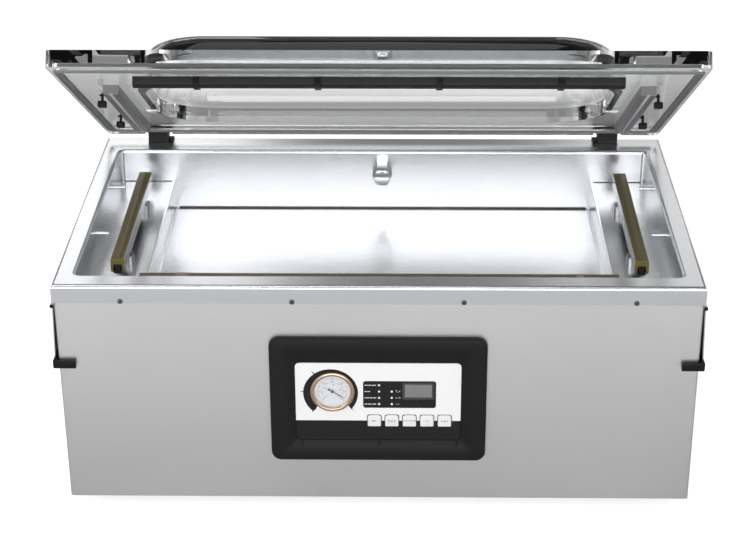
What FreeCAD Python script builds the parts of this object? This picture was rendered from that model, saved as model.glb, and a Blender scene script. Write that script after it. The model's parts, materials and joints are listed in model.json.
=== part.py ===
import FreeCAD, Part
import math
import os
import re

import Sketcher

# Counter-top chamber vacuum sealer. Millimetres, +X to the user's right, +Y to the back, +Z up.
# The origin is on the table, under the middle of the deck. The lid is modelled standing open.

Vector = FreeCAD.Vector
doc = FreeCAD.newDocument("VacuumSealer")
sheet = doc.addObject("Spreadsheet::Sheet", "Sizes")

SIZES = [
    # cabinet
    ("deck_width", 700), ("deck_depth", 418), ("foot_height", 12), ("cabinet_height", 267),
    ("deck_gauge", 1.5), ("casing_gauge", 1.2), ("skirt_height", 21), ("casing_inset", 2),
    ("bend_radius", 4), ("screw_drop", 18.7), ("screw_radius", 1.6), ("foot_radius", 18),
    ("head_radius", 3), ("head_height", 1.6), ("tray_height", 16), ("tray_gauge", 2), ("tray_gap", 0.3),
    ("rear_gauge", 1.2), ("flange_gap", 0.2), ("flange_depth", 16), ("flange_top", 53),
    ("vent_middle", -60), ("vent_step", 62), ("vent_length", 52), ("vent_height", 4), ("vent_low", 60),
    ("vent_pitch", 11), ("panel_hole_width", 200), ("panel_hole_height", 114), ("panel_hole_depth", 20),
    # pressed chamber, distances from the middle of the deck
    ("opening_width", 655), ("opening_front", 182), ("opening_back", 166), ("tank_corner", 6),
    ("shelf_drop", 42), ("floor_drop", 78), ("well_width", 522), ("pan_radius", 3),
    # lid, as it lies closed
    ("lid_width", 692), ("lid_depth", 420.3), ("lid_thickness", 18), ("lid_gap", 3), ("lid_back", 206),
    ("lid_open_angle", 31.57), ("pivot_back", 212), ("pivot_rise", 16), ("lid_corner", 8),
    ("dome_width", 540), ("dome_front", 139), ("dome_back", 125), ("dome_rise", 38.5),
    ("dome_wall", 9), ("dome_corner", 80), ("dome_round", 35),
    ("gasket_width", 10), ("gasket_side", 342), ("gasket_front", 200), ("gasket_back", 180),
    ("groove_depth", 6), ("gasket_corner", 14),
    # hinges
    ("notch_room", 5.5), ("eye_length", 6), ("coil_gap", 0.3), ("base_flange", 6), ("base_flange_height", 2.5),
    ("hinge_inner", 270), ("hinge_outer", 294), ("hinge_front", 185), ("knuckle_radius", 7),
    ("pin_radius", 4), ("ear_thickness", 4), ("leaf_thickness", 2.5), ("running_gap", 0.05),
    # sealing bars and the bars that they press against
    ("bar_width", 15.5), ("bar_top_drop", 13.5), ("bar_cover_height", 16.5), ("bar_cover_top", 6.5),
    ("bar_cover_wall", 3), ("side_bar_offset", 292), ("side_bar_middle", 6), ("side_bar_length", 246),
    ("front_bar_offset", 157), ("front_bar_length", 525), ("piston_radius", 4),
    ("cylinder_radius", 11), ("cylinder_top_drop", 32), ("side_piston_pitch", 140),
    ("front_piston_pitch", 360), ("counter_height", 11), ("counter_width", 17), ("counter_length", 523),
    ("clip_width", 7), ("clip_wall", 1.2), ("clip_reach", 194), ("press_height", 16),
    ("press_offset", 309), ("press_block", 9.4),
    # chamber fittings
    ("port_flats", 21), ("port_length", 26), ("port_drop", 26), ("port_bore", 6), ("port_tail_radius", 6.8),
    ("nozzle_radius", 2), ("nozzle_length", 17.5), ("nozzle_drop", 12),
    # control panel, heights above the cabinet's lower edge
    ("bezel_width", 237), ("bezel_height", 153.5), ("bezel_middle", 129.25), ("bezel_thickness", 7),
    ("bezel_corner", 11), ("label_width", 181), ("label_height", 96.5), ("label_middle", 127.15),
    ("label_recess", 2.4), ("label_gauge", 1), ("ledge", 2.5), ("boss_depth", 9),
    ("gauge_offset", 50), ("gauge_rise", 12.75), ("gauge_radius", 24.5), ("gauge_glass_radius", 19.7),
    ("window_offset", 43.9), ("window_rise", 13.8), ("window_width", 35.2), ("window_height", 21.5),
    ("key_pitch", 19.3), ("key_first", -4.3), ("key_width", 14.6), ("key_height", 14.2),
    ("key_drop", 23.9), ("key_travel", 0.8), ("led_radius", 1.2), ("led_pitch", 7.9),
    # drop handles
    ("rod_radius", 1.2), ("rod_offset", 350.2), ("rod_drop", 25.2), ("handle_drop", 65),
    ("handle_gauge", 1.2), ("handle_flare", 2), ("grip_height", 9.8), ("grip_width", 4.4),
    ("grip_return", 25), ("grip_lip", 2.6),
    # machinery under the chamber
    ("pump_length", 150), ("pump_depth", 140), ("pump_height", 120), ("motor_radius", 60),
    ("motor_length", 160), ("shaft_radius", 8), ("shaft_height", 92), ("cowl_length", 42),
    ("hose_radius", 7),
]

for row, (alias, size) in enumerate(SIZES, start=1):
    sheet.set("A%d" % row, alias.replace("_", " "))
    sheet.set("B%d" % row, str(size))
    sheet.setAlias("B%d" % row, alias)
doc.recompute()

ALIAS_NAMES = [alias for alias, size in SIZES]
ALIASES = re.compile(r"\b(" + "|".join(ALIAS_NAMES) + r")\b")
DECK = "(foot_height + cabinet_height)"
LID = "(foot_height + cabinet_height + lid_gap)"
CASING_SIDE = "(deck_width / 2 - casing_inset)"
CASING_FACE = "(deck_depth / 2 - casing_inset)"
SHEET_TOP = "(foot_height + cabinet_height - bend_radius)"
BAR_TOP = "(foot_height + cabinet_height - bar_top_drop)"
LABEL_FACE = "(-deck_depth / 2 + casing_inset - bezel_thickness + label_recess)"
PANEL_MIDDLE = "(foot_height + label_middle)"
SIDES = (("left", -1), ("right", 1))
nodes = []


def size(alias):
    return float(getattr(sheet, alias))


def bind(item, place, formula):
    """Tie one property of an object to the sheet."""
    item.setExpression(place, ALIASES.sub(r"Sizes.\1", str(formula)))


def put(item, corner):
    for axis, formula in zip("xyz", corner):
        bind(item, "Placement.Base." + axis, formula)
    return item


def block(name, x, y, z):
    """A box between two planes on each axis."""
    item = doc.addObject("Part::Box", name)
    for side, (low, high) in zip(("Length", "Width", "Height"), (x, y, z)):
        bind(item, side, "(%s) - (%s)" % (high, low))
    return put(item, (x[0], y[0], z[0]))


TURNS = {
    "z": FreeCAD.Rotation(),
    "x": FreeCAD.Rotation(Vector(0, 1, 0), 90),
    "y": FreeCAD.Rotation(Vector(1, 0, 0), -90),
}


def rod(name, radius, length, start, along="z"):
    """A round bar from a start point along one axis."""
    item = doc.addObject("Part::Cylinder", name)
    bind(item, "Radius", radius)
    bind(item, "Height", length)
    item.Placement = FreeCAD.Placement(Vector(0, 0, 0), TURNS[along])
    return put(item, start)


def cut(name, base, *tools):
    item = doc.addObject("Part::Cut", name)
    item.Base = base
    item.Tool = tools[0] if len(tools) == 1 else group(name + "_tools", *tools)
    return item


def join(name, *pieces):
    item = doc.addObject("Part::MultiFuse", name)
    item.Shapes = list(pieces)
    item.Refine = True
    return item


def group(name, *pieces):
    item = doc.addObject("Part::Compound", name)
    item.Links = list(pieces)
    return item


def rounded(name, base, radius, chosen):
    """Round the edges that the chooser picks from the base's shape."""
    doc.recompute()
    picked = [(number, radius, radius) for number, edge in enumerate(base.Shape.Edges, start=1)
              if chosen(edge.BoundBox)]
    item = doc.addObject("Part::Fillet", name)
    item.Base = base
    item.Edges = picked
    return item


def upright(box):
    """True for a straight vertical edge."""
    return box.ZLength > 1 and box.XLength < 0.01 and box.YLength < 0.01


def keep(item, node):
    """Name a finished sub-part and list it for export."""
    item.Label = node
    nodes.append(item)
    return item


def swing_open(item):
    """Turn a piece of the closed lid about the hinge pin to where the lid stands open."""
    pivot = Vector(0, size("pivot_back"), size("foot_height") + size("cabinet_height") + size("pivot_rise"))
    turn = FreeCAD.Rotation(Vector(1, 0, 0), -size("lid_open_angle"))
    item.Placement = FreeCAD.Placement(Vector(0, 0, 0), turn, pivot)
    return item


def outline_sketch(body, plane, points):
    """A closed outline of straight sides, each corner tied to the sheet; no corner is negative."""
    sketch = body.newObject("Sketcher::SketchObject", body.Name + "_sketch")
    sketch.AttachmentSupport = ([item for item in body.Origin.OriginFeatures if item.Role == plane][0],
                                [""])
    sketch.MapMode = "FlatFace"
    guess = [Vector(index, (index * index) % 7, 0) for index in range(len(points))]
    count = len(points)
    for index in range(count):
        sketch.addGeometry(Part.LineSegment(guess[index], guess[(index + 1) % count]), False)
    for index in range(count):
        sketch.addConstraint(Sketcher.Constraint("Coincident", index, 2, (index + 1) % count, 1))
    for index, corner in enumerate(points):
        for kind, formula, axis in zip(("DistanceX", "DistanceY"), corner, (-2, -1)):
            if formula == "0":
                sketch.addConstraint(Sketcher.Constraint("PointOnObject", index, 1, axis))
            else:
                number = sketch.addConstraint(Sketcher.Constraint(kind, -1, 1, index, 1, 1 + index))
                bind(sketch, "Constraints[%d]" % number, formula)
    return sketch


def turned(name, points):
    """A body turned about its own Z axis from (radius, height) corners."""
    body = doc.addObject("PartDesign::Body", name)
    sketch = outline_sketch(body, "XZ_Plane", points)
    spin = body.newObject("PartDesign::Revolution", name + "_turn")
    spin.Profile = sketch
    spin.ReferenceAxis = (sketch, ["V_Axis"])
    spin.Angle = 360
    return body


def extruded(name, plane, points, depth):
    """A body of one outline, padded by a depth."""
    body = doc.addObject("PartDesign::Body", name)
    sketch = outline_sketch(body, plane, points)
    pad = body.newObject("PartDesign::Pad", name + "_pad")
    pad.Profile = sketch
    bind(pad, "Length", depth)
    return body


# ---------------------------------------------------------------- cabinet

def pressed_surface(name, gauge, foot):
    """The space under one face of the deck sheet: a block with the stepped chamber sunk in it."""
    side = "(deck_width / 2 - %s)" % gauge
    face = "(deck_depth / 2 - %s)" % gauge
    half = "(opening_width / 2 + %s)" % gauge
    well = "(well_width / 2 + %s)" % gauge
    front = "(-opening_front - %s)" % gauge
    back = "(opening_back + %s)" % gauge
    top = "(%s - %s)" % (DECK, gauge)
    outer = block(name + "_outer", ("-" + side, side), ("-" + face, face), (foot, top))
    shelf = block(name + "_shelf", ("-" + half, half), (front, back),
                  (DECK + " - shelf_drop - " + gauge, DECK + " + 5"))
    deep = block(name + "_deep", ("-" + well, well), (front, back),
                 (DECK + " - floor_drop - " + gauge, DECK + " + 5"))
    sheet_under = size(gauge) if gauge in ALIAS_NAMES else 0
    deck_level = size("foot_height") + size("cabinet_height") - sheet_under
    shelf_level = deck_level - size("shelf_drop")
    floor_level = deck_level - size("floor_drop")
    hollow = rounded(name + "_brim", join(name + "_void", shelf, deep), size("pan_radius") - sheet_under,
                     lambda box: box.YLength > size("opening_back") and box.XLength < 0.01
                     and abs(box.ZMin - shelf_level) < 0.01 and abs(box.XMin) < size("well_width") / 2 + 3)
    hollow = rounded(name + "_walls", hollow, size("tank_corner") + sheet_under,
                     lambda box: upright(box) and box.ZMax > deck_level)
    hollow = rounded(name + "_pan", hollow, size("pan_radius") + sheet_under,
                     lambda box: box.ZMax < floor_level + 0.01)
    sunk = cut(name + "_sunk", outer, hollow)
    return rounded(name, sunk, size("bend_radius") - sheet_under, lambda box: box.ZMin > deck_level - 0.01)


def make_chamber_tank():
    above = pressed_surface("deck_above", "0", "100")
    below = pressed_surface("deck_below", "deck_gauge", "90")
    skin = cut("deck_skin", above, below)
    ring_outer = block("ring_outer", ("-deck_width", "deck_width"), ("-deck_depth", "deck_depth"),
                       ("80", DECK + " - skirt_height"))
    ring_inner = block("ring_inner", ("-opening_width / 2 - 8", "opening_width / 2 + 8"),
                       ("-opening_front - 8", "opening_back + 8"), ("70", DECK))
    ring = cut("skirt_trim", ring_outer, ring_inner)
    holes = [rod("port_hole", "port_tail_radius + 0.2", "10",
                 ("0", "opening_back - 4", DECK + " - port_drop"), "y")]
    for side, sign in SIDES:
        for place, along in enumerate(NOZZLES):
            holes.append(rod("nozzle_hole_%s_%d" % (side, place), "nozzle_radius + 0.1", "12",
                             ("%d * opening_width / 2 - 6" % sign, along, DECK + " - nozzle_drop"), "x"))
    tank = cut("tank_cut", skin, ring, *holes, *screw_bars("tank_screw_hole", "screw_radius + 0.1"))
    keep(tank, "chamber_tank")


NOZZLES = ("-52", "79")
FRONT_SCREWS = ("-276", "-92", "92", "276")
SIDE_SCREWS = ("-150", "150")


def screw_bars(name, radius):
    """Round bars through the skirt and the cover behind it, one for each cover screw."""
    level = DECK + " - screw_drop"
    face = "deck_depth / 2"
    bars = []
    for place, across in enumerate(FRONT_SCREWS):
        bars.append(rod("%s_front_%d" % (name, place), radius, "8", (across, "-" + face, level), "y"))
        bars.append(rod("%s_rear_%d" % (name, place), radius, "8", (across, face + " - 8", level), "y"))
    for place, along in enumerate(SIDE_SCREWS):
        bars.append(rod("%s_left_%d" % (name, place), radius, "8", ("-deck_width / 2", along, level), "x"))
        bars.append(rod("%s_right_%d" % (name, place), radius, "8", ("deck_width / 2 - 8", along, level),
                        "x"))
    return bars


def make_cover_screws():
    """Domed heads on the skirt, each on its own shank."""
    level = DECK + " - screw_drop"
    face = "deck_depth / 2"
    heads = []
    for place, across in enumerate(FRONT_SCREWS):
        heads.append(rod("head_front_%d" % place, "head_radius", "head_height", (across, "-%s - head_height" % face, level), "y"))
        heads.append(rod("head_rear_%d" % place, "head_radius", "head_height", (across, face, level), "y"))
    for place, along in enumerate(SIDE_SCREWS):
        heads.append(rod("head_left_%d" % place, "head_radius", "head_height",
                         ("-deck_width / 2 - head_height", along, level), "x"))
        heads.append(rod("head_right_%d" % place, "head_radius", "head_height", ("deck_width / 2", along, level), "x"))
    shanks = screw_bars("screw_shank", "screw_radius")
    screws = [join("screw_%d" % number, head, shank) for number,
              (head, shank) in enumerate(zip(heads, shanks))]
    keep(group("screw_set", *screws), "cover_screws")


def make_casing():
    """Front and both sides in one bent sheet, with the opening for the control panel."""
    outer = block("casing_outer", ("-" + CASING_SIDE, CASING_SIDE),
                  ("-" + CASING_FACE, CASING_FACE + " - 1.5"),
                  ("foot_height", SHEET_TOP))
    bent = rounded("casing_bent", outer, 2.5, lambda box: upright(box) and box.YMax < 0)
    inner = block("casing_inner", ("-%s + casing_gauge" % CASING_SIDE, CASING_SIDE + " - casing_gauge"),
                  ("-%s + casing_gauge" % CASING_FACE, "deck_depth"), ("0", "2 * cabinet_height"))
    panel = block("casing_panel", ("-panel_hole_width / 2", "panel_hole_width / 2"),
                  ("-deck_depth", "-deck_depth / 2 + panel_hole_depth"),
                  (PANEL_MIDDLE + " - panel_hole_height / 2", PANEL_MIDDLE + " + panel_hole_height / 2"))
    casing = cut("casing_cut", bent, inner, panel, *screw_bars("casing_screw_hole", "screw_radius + 0.1"))
    keep(casing, "casing")


def make_base_plate():
    """Tray that closes the cabinet below and carries the machinery."""
    half = CASING_SIDE + " - casing_gauge - tray_gap"
    deep = CASING_FACE + " - casing_gauge - tray_gap"
    outer = block("base_outer", ("-(%s)" % half, half), ("-(%s)" % deep, deep),
                  ("foot_height", "foot_height + tray_height"))
    inner = block("base_inner", ("-(%s) + tray_gauge" % half, half + " - tray_gauge"),
                  ("-(%s) + tray_gauge" % deep, deep + " - tray_gauge"),
                  ("foot_height + tray_gauge", "foot_height + 2 * tray_height"))
    keep(cut("base_cut", outer, inner), "base_plate")


def make_rear_cover():
    """Removable back sheet with side flanges, cooling slots and the cut-out for the inlet."""
    low = "foot_height"
    high = SHEET_TOP
    plate = block("rear_plate", ("-" + CASING_SIDE, CASING_SIDE), (CASING_FACE + " - rear_gauge", CASING_FACE),
                  (low, high))
    pieces = [plate]
    for side, sign in SIDES:
        near = "%d * (%s - casing_gauge - flange_gap)" % (sign, CASING_SIDE)
        far = "%d * (%s - casing_gauge - flange_gap - rear_gauge)" % (sign, CASING_SIDE)
        across = (near, far) if sign < 0 else (far, near)
        pieces.append(block("rear_flange_" + side, across, (CASING_FACE + " - flange_depth", CASING_FACE + " - rear_gauge / 2"),
                            ("foot_height + tray_height + 4", SHEET_TOP + " - flange_top")))
    slots = [block("inlet_hole", ("239", "281"), ("190", "220"), ("49", "111"))]
    for column in (-1, 0, 1):
        for line in range(10):
            middle = "vent_middle + %d * vent_step" % column
            level = "vent_low + %d * vent_pitch" % line
            slots.append(block("vent_%d_%d" % (column + 1, line), (middle + " - vent_length / 2", middle + " + vent_length / 2"),
                               ("190", "220"), (level, level + " + vent_height")))
    rear = cut("rear_cut", join("rear_bent", *pieces), *slots,
               *screw_bars("rear_screw_hole", "screw_radius + 0.1"))
    keep(rear, "rear_cover")


def make_feet():
    feet = []
    for number, (across, along) in enumerate(((-290, -150), (290, -150), (-290, 150), (290, 150))):
        foot = turned("foot_%d" % number, [("5", "0"), ("foot_radius - 2", "0"), ("foot_radius",
                                                                                  "foot_height"),
                                           ("5", "foot_height")])
        feet.append(put(foot, (str(across), str(along), "0")))
    keep(group("foot_set", *feet), "rubber_feet")


# ---------------------------------------------------------------- drop handles

def make_handles():
    """A wire rod under the skirt on each side, a flap that swings on it and a moulded grip below."""
    level = DECK + " - rod_drop"
    reach = "(deck_depth / 2 - 1)"
    rods = []
    for side, sign in SIDES:
        axis = "%d * rod_offset" % sign
        wire = rod("rod_wire_" + side, "rod_radius", "2 * " + reach, (axis, "-" + reach, level), "y")
        parts = [wire]
        for end, face in (("front", "-%s" % reach), ("back", "%s - 2" % reach)):
            parts.append(rod("rod_cap_%s_%s" % (side, end), "2", "2", (axis, face, level), "y"))
            lug = ("%d * rod_offset - 0.2" % sign, "%d * %s" % (sign, CASING_SIDE))
            across = lug if sign < 0 else (lug[1], "%d * rod_offset + 0.2" % sign)
            parts.append(block("rod_lug_%s_%s" % (side, end), across, (face, face + " + 2"),
                               (level + " - 1", level + " + 1")))
        rods.append(join("rod_" + side, *parts))

        knuckle = rod("knuckle_" + side, "rod_radius + 0.8", "2 * %s - 8" % reach,
                      (axis, "-%s + 4" % reach, level), "y")
        bore = rod("knuckle_bore_" + side, "rod_radius + running_gap", "2 * %s" % reach,
                   (axis, "-" + reach, level), "y")
        outer_top = "(rod_offset - 0.6)"
        flap_points = [("0", "handle_drop"), ("handle_gauge", "handle_drop"),
                       ("handle_gauge + handle_flare", "0"),
                       ("handle_flare", "0")]
        flap = extruded("flap_" + side, "XZ_Plane", flap_points, "2 * %s - 8" % reach)
        flap.Placement = FreeCAD.Placement(Vector(0, 0, 0),
                                           FreeCAD.Rotation(Vector(0, 0, 1), 0 if sign > 0 else 180))
        front = "%s - 4" % reach if sign > 0 else "-%s + 4" % reach
        put(flap, ("%d * %s" % (sign, outer_top), front, level + " - handle_drop"))
        window = block("flap_window_" + side, ("%d * 360 - 12" % sign, "%d * 360 + 12" % sign),
                       ("-150", "150"),
                       (level + " - handle_drop + 13", level + " - 12"))
        frame = cut("handle_frame_cut_" + side, join("handle_frame_solid_" + side, knuckle, flap), bore,
                    window)
        keep(frame, "handle_frame_" + side)

        low = level + " - handle_drop - grip_height"
        near = "%d * (rod_offset - 0.8)" % sign
        far = "%d * (rod_offset - 0.8 + grip_width)" % sign
        inboard = "%d * (rod_offset - 0.8 + grip_width - grip_return)" % sign
        across = (far, near) if sign < 0 else (near, far)
        wrap = (far, inboard) if sign < 0 else (inboard, far)
        rail = block("grip_rail_" + side, across, ("-deck_depth / 2 - 0.6", reach),
                     (low, low + " + grip_height"))
        lip = block("grip_lip_" + side, wrap, ("-deck_depth / 2 - 0.6 - grip_lip", "-deck_depth / 2 - 0.6"),
                    (low, low + " + grip_height"))
        keep(join("grip_" + side, rail, lip), "handle_grip_" + side)
    keep(group("rod_set", *rods), "handle_rods")


# ---------------------------------------------------------------- hinges

def make_hinges():
    """Cast base on the deck, steel pin and torsion spring; the leaf is screwed to the top of the lid."""
    pivot_y = "pivot_back"
    pivot_z = "(%s + pivot_rise)" % DECK
    pins = []
    springs = []
    for side, sign in SIDES:
        def across(near, far, sign=sign):
            low, high = "%d * (%s)" % (sign, near), "%d * (%s)" % (sign, far)
            return (high, low) if sign < 0 else (low, high)

        def bar(name, radius, near, far, sign=sign):
            start = across(near, far)[0]
            return rod(name, radius, "(%s) - (%s)" % (far, near), (start, pivot_y, pivot_z), "x")

        foot = block("base_foot_" + side, across("hinge_inner - base_flange", "hinge_outer"),
                     ("hinge_front - 1", "deck_depth / 2 - 1.5"), (DECK, DECK + " + base_flange_height"))
        body = block("base_body_" + side, across("hinge_inner", "hinge_outer"),
                     ("hinge_front", "deck_depth / 2 - 4"), (DECK, DECK + " + pivot_rise"))
        web = block("base_web_" + side, across("hinge_inner", "hinge_outer"),
                    ("deck_depth / 2 - 5", "pivot_back"), (DECK + " + 6", DECK + " + pivot_rise"))
        eye = bar("base_eye_" + side, "knuckle_radius", "hinge_inner", "hinge_outer")
        pocket = bar("spring_pocket_" + side, "knuckle_radius + coil_gap", "hinge_inner + eye_length", "hinge_outer - eye_length")
        bore = bar("base_bore_" + side, "pin_radius", "hinge_inner - 1", "hinge_outer + 1")
        solid = join("base_solid_" + side, foot, body, web, eye)
        keep(cut("base_cast_" + side, solid, pocket, bore), "hinge_base_" + side)

        pins.append(bar("pin_" + side, "pin_radius", "hinge_inner - ear_thickness - 1",
                        "hinge_outer + ear_thickness + 1"))
        coil = bar("coil_" + side, "knuckle_radius - 0.4", "hinge_inner + eye_length + coil_gap", "hinge_outer - eye_length - coil_gap")
        core = bar("coil_core_" + side, "pin_radius + coil_gap", "hinge_inner", "hinge_outer")
        springs.append(cut("spring_" + side, coil, core))

        parts = [block("leaf_plate_" + side, across("hinge_inner - 8", "hinge_outer + 8"),
                       ("lid_back - 46", "lid_back - 0.5"),
                       (LID + " + lid_thickness", LID + " + lid_thickness + leaf_thickness"))]
        bores = []
        for which, near in (("inner", "hinge_inner - 0.5 - ear_thickness"), ("outer", "hinge_outer + 0.5")):
            far = near + " + ear_thickness"
            parts.append(bar("ear_eye_%s_%s" % (which, side), "knuckle_radius - 1", near, far))
            parts.append(block("ear_arm_%s_%s" % (which, side), across(near, far),
                               ("lid_back - 12", "pivot_back"),
                               (pivot_z, LID + " + lid_thickness + leaf_thickness")))
            bores.append(bar("ear_bore_%s_%s" % (which, side), "pin_radius + running_gap", near + " - 1",
                             far + " + 1"))
        leaf = cut("leaf_cut_" + side, join("leaf_solid_" + side, *parts), *bores)
        keep(swing_open(leaf), "hinge_leaf_" + side)
    keep(group("pin_set", *pins), "hinge_pins")
    keep(group("spring_set", *springs), "hinge_springs")


# ---------------------------------------------------------------- lid

def ring_block(name, side, front, back, low, high, corner):
    outer = block(name + "_block", ("-(%s)" % side, side), ("-(%s)" % front, back), (low, high))
    return rounded(name, outer, corner, upright)


def make_lid():
    """Clear plate with a formed dome, a groove for the gasket and a notch over each hinge base."""
    top = LID + " + lid_thickness"
    plate = ring_block("lid_plate", "lid_width / 2", "lid_depth - lid_back", "lid_back", LID, top,
                       size("lid_corner"))
    bulge = ring_block("dome_bulge", "dome_width / 2", "dome_front", "dome_back", LID + " + 4",
                       top + " + dome_rise",
                       size("dome_corner"))
    doc.recompute()
    crown = bulge.Shape.BoundBox.ZMax
    bulge = rounded("dome_outer", bulge, size("dome_round"), lambda box: box.ZMin > crown - 0.01)
    hollow = ring_block("dome_hollow", "dome_width / 2 - dome_wall", "dome_front - dome_wall",
                        "dome_back - dome_wall",
                        LID + " - 10", top + " + dome_rise - dome_wall",
                        size("dome_corner") - size("dome_wall"))
    doc.recompute()
    ceiling = hollow.Shape.BoundBox.ZMax
    hollow = rounded("dome_inner", hollow, size("dome_round") - size("dome_wall"),
                     lambda box: box.ZMin > ceiling - 0.01)
    groove = cut("groove", *gasket_walls("groove", "0", LID + " - 1", LID + " + groove_depth"))
    notches = []
    for side, sign in SIDES:
        low, high = ("hinge_inner - notch_room", "hinge_outer + notch_room")
        across = ("-(%s)" % high, "-(%s)" % low) if sign < 0 else (low, high)
        notches.append(block("notch_" + side, across, ("hinge_front - 1", "lid_back + notch_room"),
                             (LID + " - 5", top + " + 0.01")))
    shell = cut("lid_cut", join("lid_solid", plate, bulge), hollow, groove, *notches)
    keep(swing_open(shell), "lid_shell")

    rubber = cut("gasket_ring", *gasket_walls("gasket", "0.2", DECK + " + 0.3",
                                              LID + " + groove_depth - 0.2"))
    keep(swing_open(rubber), "lid_gasket")


def gasket_walls(name, slack, low, high):
    """Outer and inner block of the ring that runs round the lid's underside."""
    outer = ring_block(name + "_outside", "gasket_side - " + slack, "gasket_front - " + slack,
                       "gasket_back - " + slack,
                       low, high, size("gasket_corner"))
    inner = ring_block(name + "_inside", "gasket_side - gasket_width + " + slack,
                       "gasket_front - gasket_width + " + slack, "gasket_back - gasket_width + " + slack,
                       low + " - 1", high + " + 1", size("gasket_corner") - size("gasket_width") + 2)
    return outer, inner


def make_counter_bars():
    """Silicone bars under the lid that the sealing bars press the bag against."""
    low = LID + " - counter_height"
    long_bar = block("counter_front_bar", ("-counter_length / 2", "counter_length / 2"),
                     ("-front_bar_offset - counter_width / 2",
                      "-front_bar_offset + counter_width / 2"), (low, LID))
    notches = [block("counter_notch_%d" % number,
                     (across + " - clip_width / 2 - 0.2", across + " + clip_width / 2 + 0.2"),
                     ("-front_bar_offset - counter_width", "-front_bar_offset + counter_width"),
                     (low + " - 1", low + " + clip_wall + 0.1")) for number, across in enumerate(CLIPS)]
    keep(swing_open(cut("counter_front", long_bar, *notches)), "counter_bar_front")
    for side, sign in SIDES:
        middle = "%d * side_bar_offset" % sign
        bar = block("counter_bar_block_" + side,
                    (middle + " - counter_width / 2", middle + " + counter_width / 2"),
                    ("side_bar_middle - side_bar_length / 2",
                     "side_bar_middle + side_bar_length / 2"), (low, LID))
        keep(swing_open(group("counter_" + side, bar)), "counter_bar_" + side)


CLIPS = ("-clip_reach", "-clip_reach / 3", "clip_reach / 3", "clip_reach")


def make_bar_clips():
    """Four clips that hold the front counter bar; each is a strap let into three of its sides."""
    clips = []
    for number, across in enumerate(CLIPS):
        middle = "-front_bar_offset"
        half = "counter_width / 2"
        strap = block("clip_strap_%d" % number,
                      (across + " - clip_width / 2", across + " + clip_width / 2"),
                      ("%s - %s - clip_wall - 0.2" % (middle, half),
                       "%s + %s + clip_wall + 0.2" % (middle, half)),
                      (LID + " - counter_height", LID))
        room = block("clip_room_%d" % number, (across + " - clip_width", across + " + clip_width"),
                     ("%s - %s - 0.2" % (middle, half), "%s + %s + 0.2" % (middle, half)),
                     (LID + " - counter_height + clip_wall", LID + " + 1"))
        clips.append(cut("clip_%d" % number, strap, room))
    keep(swing_open(group("clip_set", *clips)), "bar_clips")


def make_press_knobs():
    """Four pegs with square feet that hold the mouth of a bag down by the gas nozzles."""
    knobs = []
    for side, sign in SIDES:
        for place, along in enumerate(("-69", "64")):
            tag = "%s_%d" % (side, place)
            middle = "%d * press_offset" % sign
            half = "press_block / 2"
            low = LID + " - press_height"
            foot = block("press_foot_" + tag, ("%s - %s" % (middle, half), "%s + %s" % (middle, half)),
                         ("%s - %s" % (along, half), "%s + %s" % (along, half)), (low, low + " + 6.8"))
            stem = rod("press_stem_" + tag, "1.4", "press_height - 6", (middle, along, low + " + 6"))
            bar = block("press_bar_" + tag, ("%s - 3.4" % middle, "%s + 2" % middle),
                        (along + " - 1.2", along + " + 1.2"),
                        (LID + " - 3.6", LID + " - 1.4"))
            knobs.append(join("press_" + tag, foot, stem, bar))
    keep(swing_open(group("press_set", *knobs)), "bag_press_knobs")


# ---------------------------------------------------------------- chamber fittings

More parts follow.
